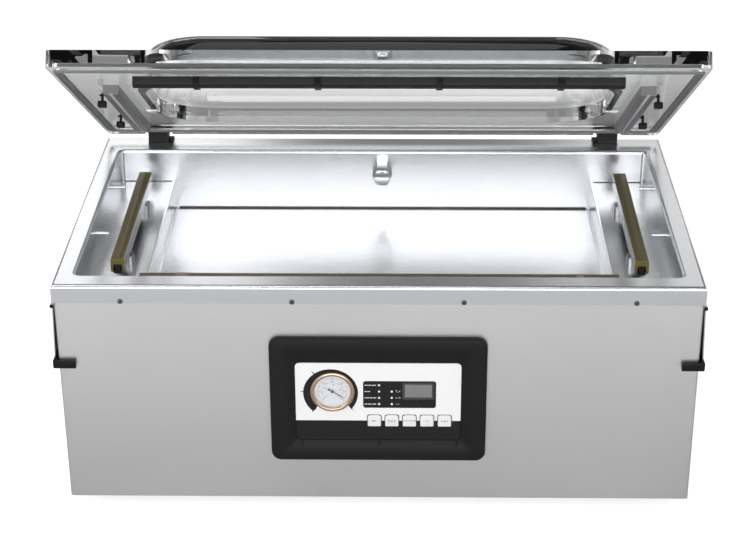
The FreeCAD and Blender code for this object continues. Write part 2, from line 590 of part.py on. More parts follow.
def make_seal_bars():
    """Three heated bars: a rigid core under a coated cover, on two pistons that lift in cylinders."""
    cylinders = []
    bars = [("left", "-side_bar_offset", "side_bar_middle", "0", "side_piston_pitch", "shelf_drop"),
            ("right", "side_bar_offset", "side_bar_middle", "0", "side_piston_pitch", "shelf_drop"),
            ("front", "0", "-front_bar_offset", "front_piston_pitch", "0", "floor_drop")]
    core_top = BAR_TOP + " - bar_cover_top - 0.2"
    core_low = DECK + " - cylinder_top_drop + 0.5"
    for name, across, along, pitch_x, pitch_y, drop in bars:
        lengthwise = name == "front"

        def bar(label, width, low, high):
            length = "front_bar_length" if lengthwise else "side_bar_length"
            wide, deep = (length, width) if lengthwise else (width, length)
            return block("%s_%s" % (label, name),
                         ("%s - (%s) / 2" % (across, wide), "%s + (%s) / 2" % (across, wide)),
                         ("%s - (%s) / 2" % (along, deep), "%s + (%s) / 2" % (along, deep)), (low, high))

        hollow = "bar_width - 2 * bar_cover_wall"
        skin = bar("cover_skin", "bar_width", BAR_TOP + " - bar_cover_height", BAR_TOP)
        room = bar("cover_room", hollow, BAR_TOP + " - bar_cover_height - 1", BAR_TOP + " - bar_cover_top")
        room_long = "front_bar_length + 2" if lengthwise else "side_bar_length + 2"
        bind(room, "Length" if lengthwise else "Width", room_long)
        bind(room, "Placement.Base." + ("x" if lengthwise else "y"),
             "%s - (%s) / 2" % (across if lengthwise else along, room_long))
        keep(cut("cover_channel_" + name, skin, room), "seal_cover_" + name)

        head = bar("core_head", hollow + " - 0.2", core_top + " - 3", core_top)
        web = bar("core_web", hollow + " - 4", core_low + " + 2", core_top + " - 2")
        foot = bar("core_foot", hollow + " - 0.2", core_low, core_low + " + 3.5")
        keep(join("core_" + name, head, web, foot), "seal_bar_" + name)

        pistons = []
        for end in (-1, 1):
            spot = ("%s + %d * (%s) / 2" % (across, end, pitch_x),
                    "%s + %d * (%s) / 2" % (along, end, pitch_y))
            tag = "%s_%d" % (name, end + 1)
            seat = "%s - %s" % (DECK, drop)
            top = DECK + " - cylinder_top_drop"
            barrel = rod("barrel_" + tag, "cylinder_radius", "%s - cylinder_top_drop" % drop,
                         spot + (seat,))
            bore = rod("barrel_bore_" + tag, "piston_radius + running_gap", "9.5", spot + (top + " - 9",))
            cylinders.append(cut("cylinder_" + tag, barrel, bore))
            pistons.append(rod("piston_" + tag, "piston_radius", "9", spot + (core_low + " - 9",)))
        keep(group("pistons_" + name, *pistons), "lift_pistons_" + name)
    keep(group("cylinder_set", *cylinders), "lift_cylinders")


def make_port():
    """Hexagonal suction fitting in the back wall, with its tail, bore and nut behind the wall."""
    centre = DECK + " - port_drop"
    wall = "opening_back"
    head = doc.addObject("Part::Prism", "port_head")
    head.Polygon = 6
    bind(head, "Circumradius", "port_flats / sqrt(3)")
    bind(head, "Height", "port_length")
    head.Placement = FreeCAD.Placement(Vector(0, 0, 0), TURNS["y"])
    put(head, ("0", wall + " - port_length", centre))
    tail = rod("port_tail", "port_tail_radius", "18", ("0", wall + " - 1", centre), "y")
    nut = doc.addObject("Part::Prism", "port_nut")
    nut.Polygon = 6
    bind(nut, "Circumradius", "port_flats / sqrt(3)")
    nut.Height = 5
    nut.Placement = FreeCAD.Placement(Vector(0, 0, 0), TURNS["y"])
    put(nut, ("0", wall + " + deck_gauge + 0.2", centre))
    bore = rod("port_bore_hole", "port_bore", "port_length + 30",
               ("0", wall + " - port_length + 3", centre), "y")
    mouths = [rod("port_mouth_%d" % number, "1.6", "30",
                  ("0", "%s - port_length + %d" % (wall, 8 + 6 * number),
                                                          centre + " - 15")) for number in range(3)]
    keep(cut("port_cut", join("port_solid", head, tail, nut), bore, *mouths), "vacuum_port")


def make_nozzles():
    nozzles = []
    for side, sign in SIDES:
        for place, along in enumerate(NOZZLES):
            tag = "%s_%d" % (side, place)
            tip = "%d * (opening_width / 2 - nozzle_length)" % sign
            tail = "%d * (opening_width / 2 + 8)" % sign
            start = tail if sign < 0 else tip
            tube = rod("nozzle_tube_" + tag, "nozzle_radius", "nozzle_length + 8",
                       (start, along, DECK + " - nozzle_drop"), "x")
            bore = rod("nozzle_bore_" + tag, "nozzle_radius / 2", "nozzle_length + 10",
                       (start + " - 1", along, DECK + " - nozzle_drop"), "x")
            nozzles.append(cut("nozzle_" + tag, tube, bore))
    keep(group("nozzle_set", *nozzles), "gas_nozzles")


# ---------------------------------------------------------------- control panel

def panel_block(name, across, up, width, height, front, back):
    """A block centred on the panel, by its offset from the label's middle and its depth planes."""
    return block(name, ("%s - (%s) / 2" % (across, width), "%s + (%s) / 2" % (across, width)),
                 (front, back),
                 ("%s + %s - (%s) / 2" % (PANEL_MIDDLE, up, height),
                  "%s + %s + (%s) / 2" % (PANEL_MIDDLE, up, height)))


def along_y(box):
    """True for a straight edge that runs front to back."""
    return box.YLength > 1 and box.XLength < 0.01 and box.ZLength < 0.01


def make_bezel():
    """Moulded frame round the label, with a boss that fits the opening in the casing."""
    face = "-%s - bezel_thickness" % CASING_FACE
    middle = "bezel_middle - label_middle"
    frame = panel_block("bezel_frame", "0", middle, "bezel_width", "bezel_height", face, "-" + CASING_FACE)
    frame = rounded("bezel_corners", frame, size("bezel_corner"), along_y)
    doc.recompute()
    nose = frame.Shape.BoundBox.YMin
    frame = rounded("bezel_soft", frame, 2.5, lambda box: box.YMax < nose + 0.01)
    boss = panel_block("bezel_boss", "0", "0", "196", "110", "-%s - 1" % CASING_FACE,
                       "-%s + boss_depth" % CASING_FACE)
    seat = panel_block("bezel_seat", "0", "0", "label_width + 0.4", "label_height + 0.4", face + " - 1",
                       LABEL_FACE + " + label_gauge")
    seat = rounded("bezel_seat_corners", seat, 5.2, along_y)
    through = panel_block("bezel_through", "0", "0", "label_width - 2 * ledge", "label_height - 2 * ledge",
                          face,
                          "-%s + boss_depth + 1" % CASING_FACE)
    keep(cut("bezel_cut", join("bezel_solid", frame, boss), seat, through), "control_bezel")


def led_places():
    """Offsets of the seven lamps from the label's middle: a column of four and a column of three."""
    first = [("1", "20.75 - %d * led_pitch" % line) for line in range(4)]
    second = [("14.9", "20.75 - %d * led_pitch" % line) for line in range(1, 4)]
    return first + second


def make_label():
    """Printed front plate with holes for the gauge, the display, the lamps and the keys."""
    back = LABEL_FACE + " + label_gauge"
    plate = panel_block("label_blank", "0", "0", "label_width", "label_height", LABEL_FACE, back)
    plate = rounded("label_corners", plate, 5, lambda box: box.YLength > 0.5 and box.XLength < 0.01)
    through = (LABEL_FACE + " - 1", back + " + 1")
    holes = [rod("gauge_hole", "gauge_radius + 0.3", "label_gauge + 2",
                 ("-gauge_offset", through[0], PANEL_MIDDLE + " + gauge_rise"), "y"),
             panel_block("window_hole", "window_offset", "window_rise", "window_width + 0.4",
                         "window_height + 0.4", *through)]
    for key in range(5):
        holes.append(panel_block("key_hole_%d" % key, "key_first + %d * key_pitch" % key, "-key_drop",
                                 "key_width + 0.6", "key_height + 0.6", *through))
    for number, (across, up) in enumerate(led_places()):
        holes.append(rod("led_hole_%d" % number, "led_radius + 0.2", "label_gauge + 2",
                         (across, through[0], "%s + %s" % (PANEL_MIDDLE, up)), "y"))
    keep(cut("label_cut", plate, *holes), "label_plate")


def make_display_and_lamps():
    window = panel_block("window_blank", "window_offset", "window_rise", "window_width", "window_height",
                         LABEL_FACE + " - 0.8", LABEL_FACE + " + 2.4")
    keep(window, "display_window")
    lamps = [rod("led_%d" % number, "led_radius", "6.5",
                 (across, LABEL_FACE + " - 0.5", "%s + %s" % (PANEL_MIDDLE, up)), "y")
             for number, (across, up) in enumerate(led_places())]
    keep(group("led_set", *lamps), "indicator_leds")


def make_keys():
    """Five caps that move straight in; each has a stem that works a switch on the board."""
    for key in range(5):
        across = "key_first + %d * key_pitch" % key
        cap = panel_block("key_cap_%d" % key, across, "-key_drop", "key_width", "key_height",
                          LABEL_FACE + " - 1", LABEL_FACE + " + 2.6")
        cap = rounded("key_cap_round_%d" % key, cap, 2.2, along_y)
        stem = rod("key_stem_%d" % key, "2", "3",
                   (across, LABEL_FACE + " + 2.2", PANEL_MIDDLE + " - key_drop"), "y")
        keep(join("key_solid_%d" % key, cap, stem), "key_%d" % (key + 1))


def make_board():
    """Circuit board behind the label, with a switch under each key."""
    board = panel_block("board_sheet", "0", "0", "label_width - 2 * ledge - 6",
                        "label_height - 2 * ledge - 6",
                        LABEL_FACE + " + 8.6", LABEL_FACE + " + 10.2")
    hole = rod("board_hole", "gauge_radius + 1", "8",
               ("-gauge_offset", LABEL_FACE + " + 6", PANEL_MIDDLE + " + gauge_rise"), "y")
    pieces = [board]
    for key in range(5):
        pieces.append(panel_block("switch_%d" % key, "key_first + %d * key_pitch" % key, "-key_drop", "6",
                                  "6",
                                  LABEL_FACE + " + 5.2 + key_travel + 0.2", LABEL_FACE + " + 9"))
    keep(cut("board_cut", join("board_solid", *pieces), hole), "control_board")


def make_gauge():
    """Vacuum gauge: can with a threaded stem, rolled brass bezel, dial, glass and needle."""
    centre = ("-gauge_offset", PANEL_MIDDLE + " + gauge_rise")

    def disc(name, radius, front, back):
        start = "%s + (%s)" % (LABEL_FACE, front)
        return rod(name, radius, "(%s) - (%s)" % (back, front), (centre[0], start, centre[1]), "y")

    ring = disc("gauge_ring", "gauge_radius", "-3", "4")
    throat = disc("gauge_throat", "gauge_glass_radius", "-4", "0")
    room = disc("gauge_room", "gauge_radius - 2.5", "-2.3", "5")
    keep(cut("gauge_ring_cut", ring, throat, room), "gauge_bezel")
    can = disc("gauge_can", "gauge_radius - 2.7", "1.4", "30")
    stem = disc("gauge_stem", "5", "29", "40")
    eye = disc("gauge_eye", "0.88", "1", "6")
    keep(cut("gauge_can_cut", join("gauge_can_solid", can, stem), eye), "gauge_case")
    dial = disc("gauge_dial_disc", "gauge_radius - 2.9", "0.7", "1.2")
    hole = disc("gauge_dial_hole", "0.88", "0", "2")
    keep(cut("gauge_dial_cut", dial, hole), "gauge_dial")
    keep(disc("gauge_glass_disc", "gauge_radius - 2.9", "-2.2", "-1.2"), "gauge_glass")

    hub = disc("needle_hub", "1.8", "-0.7", "0.1")
    shaft = disc("needle_shaft", "0.8", "0", "4")
    blade = block("needle_blade", ("-5.5", "15.5"), ("0", "0.4"), ("-0.5", "0.5"))
    blade.Placement = FreeCAD.Placement(Vector(0, 0, 0), FreeCAD.Rotation(Vector(0, 1, 0), 32))
    angle = math.radians(32)
    put(blade, ("-gauge_offset - 5.5 * %.6f - 0.5 * %.6f" % (math.cos(angle), math.sin(angle)),
                LABEL_FACE + " - 0.5",
                "%s + 5.5 * %.6f - 0.5 * %.6f" % (centre[1], math.sin(angle), math.cos(angle))))
    keep(join("needle", hub, shaft, blade), "gauge_needle")


# ---------------------------------------------------------------- machinery

def make_pump():
    """Rotary vane pump and its motor on one shaft, bolted to the tray."""
    low = "foot_height + 2"
    shaft_z = "(foot_height + shaft_height)"
    case = block("pump_case", ("-40 - pump_length", "-40"), ("-60", "-60 + pump_depth"),
                 (low, low + " + pump_height"))
    fins = [block("pump_fin_gap_%d" % number, ("-44 - pump_length", "-30"),
                  ("-60 + pump_depth - 8", "pump_depth"),
                  ("%s + %d" % (low, 16 + 16 * number),
                   "%s + %d" % (low, 22 + 16 * number))) for number in range(4)]
    glass = rod("pump_sight", "9", "6", ("-40 - pump_length / 2", "-64", low + " + 35"), "y")
    flange = rod("pump_inlet", "12", "10", ("-115", "-60 + pump_depth - 1", low + " + 111"), "y")
    top = block("pump_filter", ("-40 - pump_length + 15", "-55"), ("-40", "20"),
                (low + " + pump_height - 1", low + " + pump_height + 22"))
    seat = rod("pump_shaft_seat", "shaft_radius + running_gap", "40", ("-75", "10", shaft_z), "x")
    keep(cut("pump_cut", join("pump_solid", case, glass, flange, top), seat, *fins), "pump_body")

    barrel = rod("motor_barrel", "motor_radius", "motor_length", ("-39.7", "10", shaft_z), "x")
    feet = block("motor_feet", ("-20", "90"), ("-45", "65"), (low, shaft_z + " - 20"))
    cowl = rod("motor_cowl", "motor_radius + 3", "cowl_length", ("-39.7 + motor_length", "10", shaft_z),
               "x")
    room = rod("cowl_room", "motor_radius - 1", "cowl_length - 4",
               ("-39.7 + motor_length + 2", "10", shaft_z), "x")
    bore = rod("motor_bore", "shaft_radius + running_gap", "motor_length + 10", ("-45", "10", shaft_z), "x")
    holes = []
    for number in range(8):
        turn = math.radians(45 * number)
        holes.append(rod("grille_hole_%d" % number, "11", "6",
                         ("-39.7 + motor_length + cowl_length - 4", "10 + 38 * %.5f" % math.cos(turn),
                          "%s + 38 * %.5f" % (shaft_z, math.sin(turn))), "x"))
    keep(cut("motor_cut", join("motor_solid", barrel, feet, cowl), room, bore, *holes), "pump_motor")

    shaft = rod("fan_shaft", "shaft_radius", "motor_length + 60", ("-70", "10", shaft_z), "x")
    hub = rod("fan_hub", "16", "22", ("-39.7 + motor_length + 8", "10", shaft_z), "x")
    parts = [shaft, hub]
    for number in range(6):
        blade = block("fan_blade_%d" % number, ("0", "18"), ("-1.5", "1.5"), ("10", "52"))
        blade.Placement = FreeCAD.Placement(Vector(0, 0, 0), FreeCAD.Rotation(Vector(1, 0, 0), 60 * number))
        turn = math.radians(60 * number)
        put(blade, ("-39.7 + motor_length + 10", "10 - 1.5 * %.6f - 10 * %.6f" % (math.cos(turn),
                                                                                  math.sin(turn)),
                    "%s - 1.5 * %.6f + 10 * %.6f" % (shaft_z, math.sin(turn), math.cos(turn))))
        parts.append(blade)
    keep(join("fan_solid", *parts), "motor_fan")


def make_electrics():
    """Sealing transformer, and the solenoid valve block behind the chamber."""
    core = block("transformer_core", ("200", "290"), ("-110", "-40"),
                 ("foot_height + 2", "foot_height + 82"))
    coil = block("transformer_coil", ("216", "274"), ("-128", "-22"),
                 ("foot_height + 18", "foot_height + 66"))
    keep(join("transformer_solid", core, coil), "transformer")
    manifold = block("valve_manifold", ("-40", "40"), ("168", "203.7"), ("110", "145"))
    coils = [rod("valve_coil_%d" % number, "10", "34",
                 ("%d" % (-26 + 26 * number), "184", "77")) for number in range(3)]
    keep(join("valve_solid", manifold, *coils), "valve_block")


def bent_hose(points, bend, radius):
    """A round hose along straight runs joined by one tangent arc at each inner corner."""
    edges = []
    start = points[0]
    for before, corner, after in zip(points, points[1:], points[2:]):
        incoming = (corner - before).normalize()
        outgoing = (after - corner).normalize()
        enter = corner - incoming * bend
        leave = corner + outgoing * bend
        inward = (outgoing - incoming).normalize()
        centre = corner + inward * bend * math.sqrt(2)
        edges.append(Part.LineSegment(start, enter).toShape())
        edges.append(Part.Arc(enter, centre - inward * bend, leave).toShape())
        start = leave
    edges.append(Part.LineSegment(start, points[-1]).toShape())
    path = Part.Wire(edges)
    disc = Part.Face(Part.Wire(Part.Circle(points[0], points[1] - points[0], radius).toShape()))
    return path.makePipe(disc)


def make_hoses():
    """Suction hose from the port down to the valves, and the hose from the valves to the pump."""
    deck = size("foot_height") + size("cabinet_height")
    radius = size("hose_radius")
    port = Vector(0, size("opening_back") + 17, deck - size("port_drop"))
    down = doc.addObject("Part::Feature", "vacuum_hose_shape")
    down.Shape = bent_hose([port, Vector(0, 196.5, port.z), Vector(0, 196.5, 145)], 11, radius)
    keep(down, "vacuum_hose")
    across = doc.addObject("Part::Feature", "pump_hose_shape")
    level = size("foot_height") + 2 + 111
    pump_back = -60 + size("pump_depth") + 9
    across.Shape = bent_hose([Vector(-40, 184, level), Vector(-115, 184, level),
                              Vector(-115, pump_back, level)],
                             40, radius)
    keep(across, "pump_hose")


def make_inlet():
    """Mains inlet module with a rocker switch above the socket."""
    face = CASING_FACE
    plate = block("inlet_plate", ("235", "285"), (face, face + " + 2.5"), ("45", "115"))
    body = block("inlet_body", ("240", "280"), (face + " - 24", face + " + 1"), ("50", "110"))
    socket = block("inlet_socket", ("247", "273"), (face + " - 14", face + " + 5"), ("54", "73"))
    window = block("rocker_window", ("249.8", "270.2"), (face + " - 12", face + " + 5"), ("82.8", "107.2"))
    pins = [block("inlet_pin_%d" % number, ("%d - 1" % across, "%d + 1" % across),
                  (face + " - 15", face + " - 3"),
                  ("%d - 2" % up, "%d + 2" % up)) for number, (across,
                                                               up) in enumerate(((253, 62), (267, 62),
                                                                                 (260, 66)))]
    hollow = cut("inlet_hollow", join("inlet_shell", plate, body), socket, window)
    keep(join("inlet_solid", hollow, *pins), "power_inlet")

    angle = 8
    key = block("rocker_blank", ("-10", "10"), ("-2.5", "5.5"), ("-11", "11"))
    pivot = rod("rocker_pivot", "3.5", "20", ("-10", "0", "0"), "x")
    rocker = join("rocker_solid", key, pivot)
    rocker.Placement = FreeCAD.Placement(Vector(0, 0, 0), FreeCAD.Rotation(Vector(1, 0, 0), angle))
    put(rocker, ("260", face + " - 1", "95"))
    keep(rocker, "power_rocker")


def check_and_export():
    """Stop on any object that failed, then write one STEP file for each sub-part."""
    doc.recompute()
    failed = [item.Name for item in doc.Objects if "Invalid" in item.State or "Error" in item.State]
    if failed:
        raise RuntimeError("failed objects: %s" % failed)
    os.makedirs("parts", exist_ok=True)
    for item in nodes:
        if item.Shape.isNull() or not item.Shape.isValid():
            raise RuntimeError("bad shape: " + item.Label)
        item.Shape.exportStep("parts/%s.step" % item.Label)
        box = item.Shape.BoundBox
        print("%-22s %d solid(s) %10.1f mm3  x %.1f..%.1f y %.1f..%.1f z %.1f..%.1f" % (
            item.Label, len(item.Shape.Solids), item.Shape.Volume, box.XMin, box.XMax, box.YMin, box.YMax,
            box.ZMin, box.ZMax))
    print(len(nodes), "nodes")


make_chamber_tank()
make_cover_screws()
make_casing()
make_base_plate()
make_rear_cover()
make_feet()
make_handles()
make_hinges()
make_lid()
make_counter_bars()
make_bar_clips()
make_press_knobs()
make_seal_bars()
make_port()
make_nozzles()
make_bezel()
make_label()
make_display_and_lamps()
make_keys()
make_board()
make_gauge()
make_pump()
make_electrics()
make_hoses()
make_inlet()
check_and_export()
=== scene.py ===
import json
import math
import bmesh
import bpy
from mathutils import Matrix, Vector

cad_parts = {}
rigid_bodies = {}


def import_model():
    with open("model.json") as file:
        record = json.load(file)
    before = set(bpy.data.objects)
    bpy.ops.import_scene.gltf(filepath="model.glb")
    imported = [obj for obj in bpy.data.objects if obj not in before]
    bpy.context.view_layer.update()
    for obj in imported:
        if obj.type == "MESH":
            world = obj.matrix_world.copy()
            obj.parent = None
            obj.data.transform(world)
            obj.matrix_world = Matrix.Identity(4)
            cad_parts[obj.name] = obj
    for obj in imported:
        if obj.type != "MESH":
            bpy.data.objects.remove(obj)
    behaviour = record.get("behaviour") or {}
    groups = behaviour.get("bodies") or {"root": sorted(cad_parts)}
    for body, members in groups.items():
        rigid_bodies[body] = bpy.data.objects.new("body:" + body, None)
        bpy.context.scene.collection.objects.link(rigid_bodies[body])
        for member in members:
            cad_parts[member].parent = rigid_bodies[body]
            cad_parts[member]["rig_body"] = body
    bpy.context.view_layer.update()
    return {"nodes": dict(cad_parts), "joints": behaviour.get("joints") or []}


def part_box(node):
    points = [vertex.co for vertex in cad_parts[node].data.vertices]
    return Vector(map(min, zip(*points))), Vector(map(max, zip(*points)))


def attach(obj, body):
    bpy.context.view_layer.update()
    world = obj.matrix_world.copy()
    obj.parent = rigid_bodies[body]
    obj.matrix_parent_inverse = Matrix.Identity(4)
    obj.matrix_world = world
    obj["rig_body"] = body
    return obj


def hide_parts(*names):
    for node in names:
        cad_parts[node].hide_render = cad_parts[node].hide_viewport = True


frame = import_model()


# ------------------------------------------------------------------ camera
# A long lens a little above the open lid's rim, looking down into the chamber and nearly square
# on to the control panel.

camera_data = bpy.data.cameras.new("camera")
camera_data.lens = 87.55
camera_data.sensor_width = 36
camera_data.clip_start = 0.05
camera_data.clip_end = 30
camera = bpy.data.objects.new("camera", camera_data)
camera_place = (0.0281, -1.9384, 1.1555)
degrees_aside = 1.0276
degrees_down = 26.298
degrees_rolled = -0.2378
camera_turn = (Matrix.Rotation(math.radians(degrees_aside), 4, "Z")
               @ Matrix.Rotation(math.radians(90 - degrees_down), 4, "X")
               @ Matrix.Rotation(math.radians(degrees_rolled), 4, "Z"))
camera.matrix_world = Matrix.Translation(camera_place) @ camera_turn
bpy.context.scene.collection.objects.link(camera)
bpy.context.scene.camera = camera
bpy.context.scene.view_settings.view_transform = "Standard"


# ------------------------------------------------------------------ studio
# Soft boxes stand overhead, at the front, at each side and behind. The camera sees a pale floor and
# a white room; every other ray sees both darker and banded grey, which shows in steel and acrylic.
# On the floor that banded grey and a glowing far strip are painted reflections.

def wire(tree, source, target):
    """Join an output socket to an input socket."""
    tree.links.new(source, target)


def sum_step(tree, kind, *values, clamp=False):
    """A Math node on numbers or sockets; gives its output."""
    step = tree.nodes.new("ShaderNodeMath")
    step.operation = kind
    step.use_clamp = clamp
    for place, value in enumerate(values):
        if isinstance(value, (int, float)):
            step.inputs[place].default_value = value
        else:
            wire(tree, value, step.inputs[place])
    return step.outputs[0]


def ramp(tree, value, *stops):
    """A colour ramp over a value, from (position, grey) stops; gives its colour."""
    band = tree.nodes.new("ShaderNodeValToRGB")
    stripe = band.color_ramp
    while len(stripe.elements) < len(stops):
        stripe.elements.new(0.5)
    for element, (position, grey) in zip(stripe.elements, stops):
        element.position = position
        element.color = (grey, grey, grey, 1)
    wire(tree, value, band.inputs["Fac"])
    return band.outputs["Color"]


def blend_step(tree, factor, first, second):
    """A colour Mix node; each colour is a tuple or a socket."""
    step = tree.nodes.new("ShaderNodeMix")
    step.data_type = "RGBA"
    for socket, value in (("Factor", factor), ("A", first), ("B", second)):
        place = next(s for s in step.inputs if s.name == socket and (socket == "Factor" or s.type == "RGBA"))
        if isinstance(value, tuple):
            place.default_value = (*value, 1)
        elif isinstance(value, (int, float)):
            place.default_value = value
        else:
            wire(tree, value, place)
    return next(s for s in step.outputs if s.type == "RGBA")


world = bpy.data.worlds.new("studio_air")
bpy.context.scene.world = world
world.use_nodes = True
air = world.node_tree
air.nodes.clear()
split = air.nodes.new("ShaderNodeSeparateXYZ")
wire(air, air.nodes.new("ShaderNodeTexCoord").outputs["Generated"], split.inputs[0])
rise = sum_step(air, "MULTIPLY_ADD", split.outputs["Z"], 0.5, 0.5)
depth = sum_step(air, "MULTIPLY_ADD", split.outputs["Y"], 0.5, 0.5)
behind = ramp(air, rise, (0.0, 0.75), (0.52, 0.60), (0.60, 0.27), (0.72, 0.20), (1.0, 0.14))
before = ramp(air, rise, (0.0, 0.35), (0.5, 0.52), (0.72, 0.50), (0.84, 0.12), (1.0, 0.06))
room = blend_step(air, ramp(air, depth, (0.40, 0.0), (0.60, 1.0)), before, behind)
seen = air.nodes.new("ShaderNodeLightPath").outputs["Is Camera Ray"]
glow = air.nodes.new("ShaderNodeBackground")
wire(air, blend_step(air, seen, room, (1.0, 1.0, 1.0)), glow.inputs["Color"])
wire(air, glow.outputs[0], air.nodes.new("ShaderNodeOutputWorld").inputs["Surface"])


def soft_box(name, place, aim, width, depth, power):
    """A rectangular area light that faces a point."""
    lamp = bpy.data.lights.new(name, "AREA")
    lamp.shape = "RECTANGLE"
    lamp.size = width
    lamp.size_y = depth
    lamp.energy = power
    stand = bpy.data.objects.new(name, lamp)
    stand.location = place
    stand.rotation_euler = (Vector(aim) - Vector(place)).to_track_quat("-Z", "Y").to_euler()
    bpy.context.scene.collection.objects.link(stand)


soft_box("overhead_box", (-0.3, 0.3, 2.4), (0, 0, 0.3), 2.0, 1.2, 8)
soft_box("left_box", (-2.2, -0.6, 1.2), (0, 0, 0.25), 1.2, 1.6, 17)
soft_box("right_box", (2.2, -0.6, 1.0), (0, 0, 0.25), 1.0, 1.4, 9)
soft_box("front_box", (0.0, -3.2, 1.0), (0, 0, 0.2), 3.4, 1.6, 60)
soft_box("bend_box", (-0.2, -1.0, 2.6), (0, 0, 0.25), 2.4, 0.30, 9)
soft_box("rear_left_box", (-0.80, 2.6, 1.55), (-0.3, 0, 0.25), 0.9, 0.7, 3.4)
soft_box("rear_right_box", (0.85, 2.6, 1.55), (0.3, 0, 0.25), 0.8, 0.7, 1.8)

floor_mesh = bpy.data.meshes.new("floor")
floor_reach = 9
floor_corners = [(x * floor_reach, y * floor_reach, 0) for x, y in ((-1, -1), (1, -1), (1, 1), (-1, 1))]
floor_mesh.from_pydata(floor_corners, [], [(0, 1, 2, 3)])
floor = bpy.data.objects.new("floor", floor_mesh)
bpy.context.scene.collection.objects.link(floor)


def plain_finish(name, colour, metallic=0.0, roughness=0.5, **sockets):
    """A material with one Principled shader, its plain values set on its own sockets."""
    made = bpy.data.materials.new(name)
    made.use_nodes = True
    shader = made.node_tree.nodes["Principled BSDF"]
    shader.inputs["Base Color"].default_value = (*colour, 1)
    shader.inputs["Metallic"].default_value = metallic
    shader.inputs["Roughness"].default_value = roughness
    for socket, value in sockets.items():
        shader.inputs[socket.replace("_", " ")].default_value = value
    return made


# Painted reflection: the floor is pale and even to the camera, but every other ray sees it darker and banded
# grey, with a glowing strip far behind, for steel and acrylic to reflect.
floor_paint = plain_finish("floor_paint", (0.95, 0.95, 0.95), roughness=0.95, Emission_Color=(1, 1, 1, 1))
paint_tree = floor_paint.node_tree
looked_at = paint_tree.nodes.new("ShaderNodeLightPath").outputs["Is Camera Ray"]
placed = paint_tree.nodes.new("ShaderNodeSeparateXYZ")
wire(paint_tree, paint_tree.nodes.new("ShaderNodeTexCoord").outputs["Object"], placed.inputs[0])
painted_reflection_bands = ramp(paint_tree, sum_step(paint_tree, "MULTIPLY_ADD", placed.outputs["Y"], 0.25, 0.5),
             (0.28, 0.74), (0.43, 0.48), (0.55, 0.40), (0.72, 0.42), (0.82, 0.9))
wire(paint_tree, blend_step(paint_tree, looked_at, painted_reflection_bands, (0.95, 0.95, 0.95)),
     paint_tree.nodes["Principled BSDF"].inputs["Base Color"])
far_floor_glow = sum_step(paint_tree, "MULTIPLY_ADD", placed.outputs["Y"], 1.6, -1.5, clamp=True)
wire(
    paint_tree,
    sum_step(paint_tree, "MULTIPLY", sum_step(paint_tree, "MAXIMUM", looked_at, far_floor_glow), 0.62),
    paint_tree.nodes["Principled BSDF"].inputs["Emission Strength"])
floor_mesh.materials.append(floor_paint)


# ------------------------------------------------------------------ deck and chamber
# One stainless sheet, pressed into a deck with a rounded rim, a shelf at each side and a deeper
# well between them. It is bead-blasted to a satin, with a faint cloudiness from polishing.

def shader_group(name, inputs, outputs):
    """A shader node group with named sockets; gives the group, its inputs and its output node."""
    group = bpy.data.node_groups.new(name, "ShaderNodeTree")
    for label, kind in inputs:
        group.interface.new_socket(name=label, in_out="INPUT", socket_type="NodeSocket" + kind)
    for label, kind in outputs:
        group.interface.new_socket(name=label, in_out="OUTPUT", socket_type="NodeSocket" + kind)
    return group, group.nodes.new("NodeGroupInput").outputs, group.nodes.new("NodeGroupOutput").inputs


def noise_step(tree, vector, scale, detail=3.0):
    """A noise texture over a vector; gives its value."""
    step = tree.nodes.new("ShaderNodeTexNoise")
    step.inputs["Detail"].default_value = detail
    wire(tree, vector, step.inputs["Vector"])
    if isinstance(scale, (int, float)):
        step.inputs["Scale"].default_value = scale
    else:
        wire(tree, scale, step.inputs["Scale"])
    return step.outputs["Fac"]


worked, inside, outside = shader_group("worked_surface", [
    ("Vector", "Vector"), ("Light", "Color"), ("Dark", "Color"), ("Patches", "Float"),
    ("Roughness", "Float"), ("Spread", "Float"), ("Stretch", "Vector"),
    ("Grain", "Float")], [("Color", "Color"), ("Roughness", "Float"), ("Height", "Float")])
clouds = noise_step(worked, inside["Vector"], inside["Patches"])
wire(worked, blend_step(worked, clouds, inside["Dark"], inside["Light"]), outside["Color"])
along = worked.nodes.new("ShaderNodeVectorMath")
along.operation = "MULTIPLY"
wire(worked, inside["Vector"], along.inputs[0])
wire(worked, inside["Stretch"], along.inputs[1])
fine = noise_step(worked, along.outputs[0], inside["Grain"], 2.0)
mixed = sum_step(
    worked, "ADD", sum_step(worked, "MULTIPLY", clouds, 0.6), sum_step(worked, "MULTIPLY", fine, 0.4))
shifted = sum_step(worked, "MULTIPLY_ADD", sum_step(worked, "SUBTRACT", mixed, 0.5), inside["Spread"],
                   inside["Roughness"])
wire(worked, shifted, outside["Roughness"])
wire(worked, fine, outside["Height"])


def fed_by_group(made, group, values, relief, depth):
    """Feed a material's colour, gloss and relief from a shader group with its own values."""
    tree = made.node_tree
    shader = tree.nodes["Principled BSDF"]
    surface = tree.nodes.new("ShaderNodeGroup")
    surface.node_tree = group
    wire(tree, tree.nodes.new("ShaderNodeTexCoord").outputs["Object"], surface.inputs["Vector"])
    for label, value in values.items():
        surface.inputs[label].default_value = value
    bump = tree.nodes.new("ShaderNodeBump")
    bump.inputs["Strength"].default_value = relief
    bump.inputs["Distance"].default_value = depth
    wire(tree, surface.outputs["Height"], bump.inputs["Height"])
    wire(tree, surface.outputs["Color"], shader.inputs["Base Color"])
    wire(tree, surface.outputs["Roughness"], shader.inputs["Roughness"])
    wire(tree, bump.outputs["Normal"], shader.inputs["Normal"])
    return made


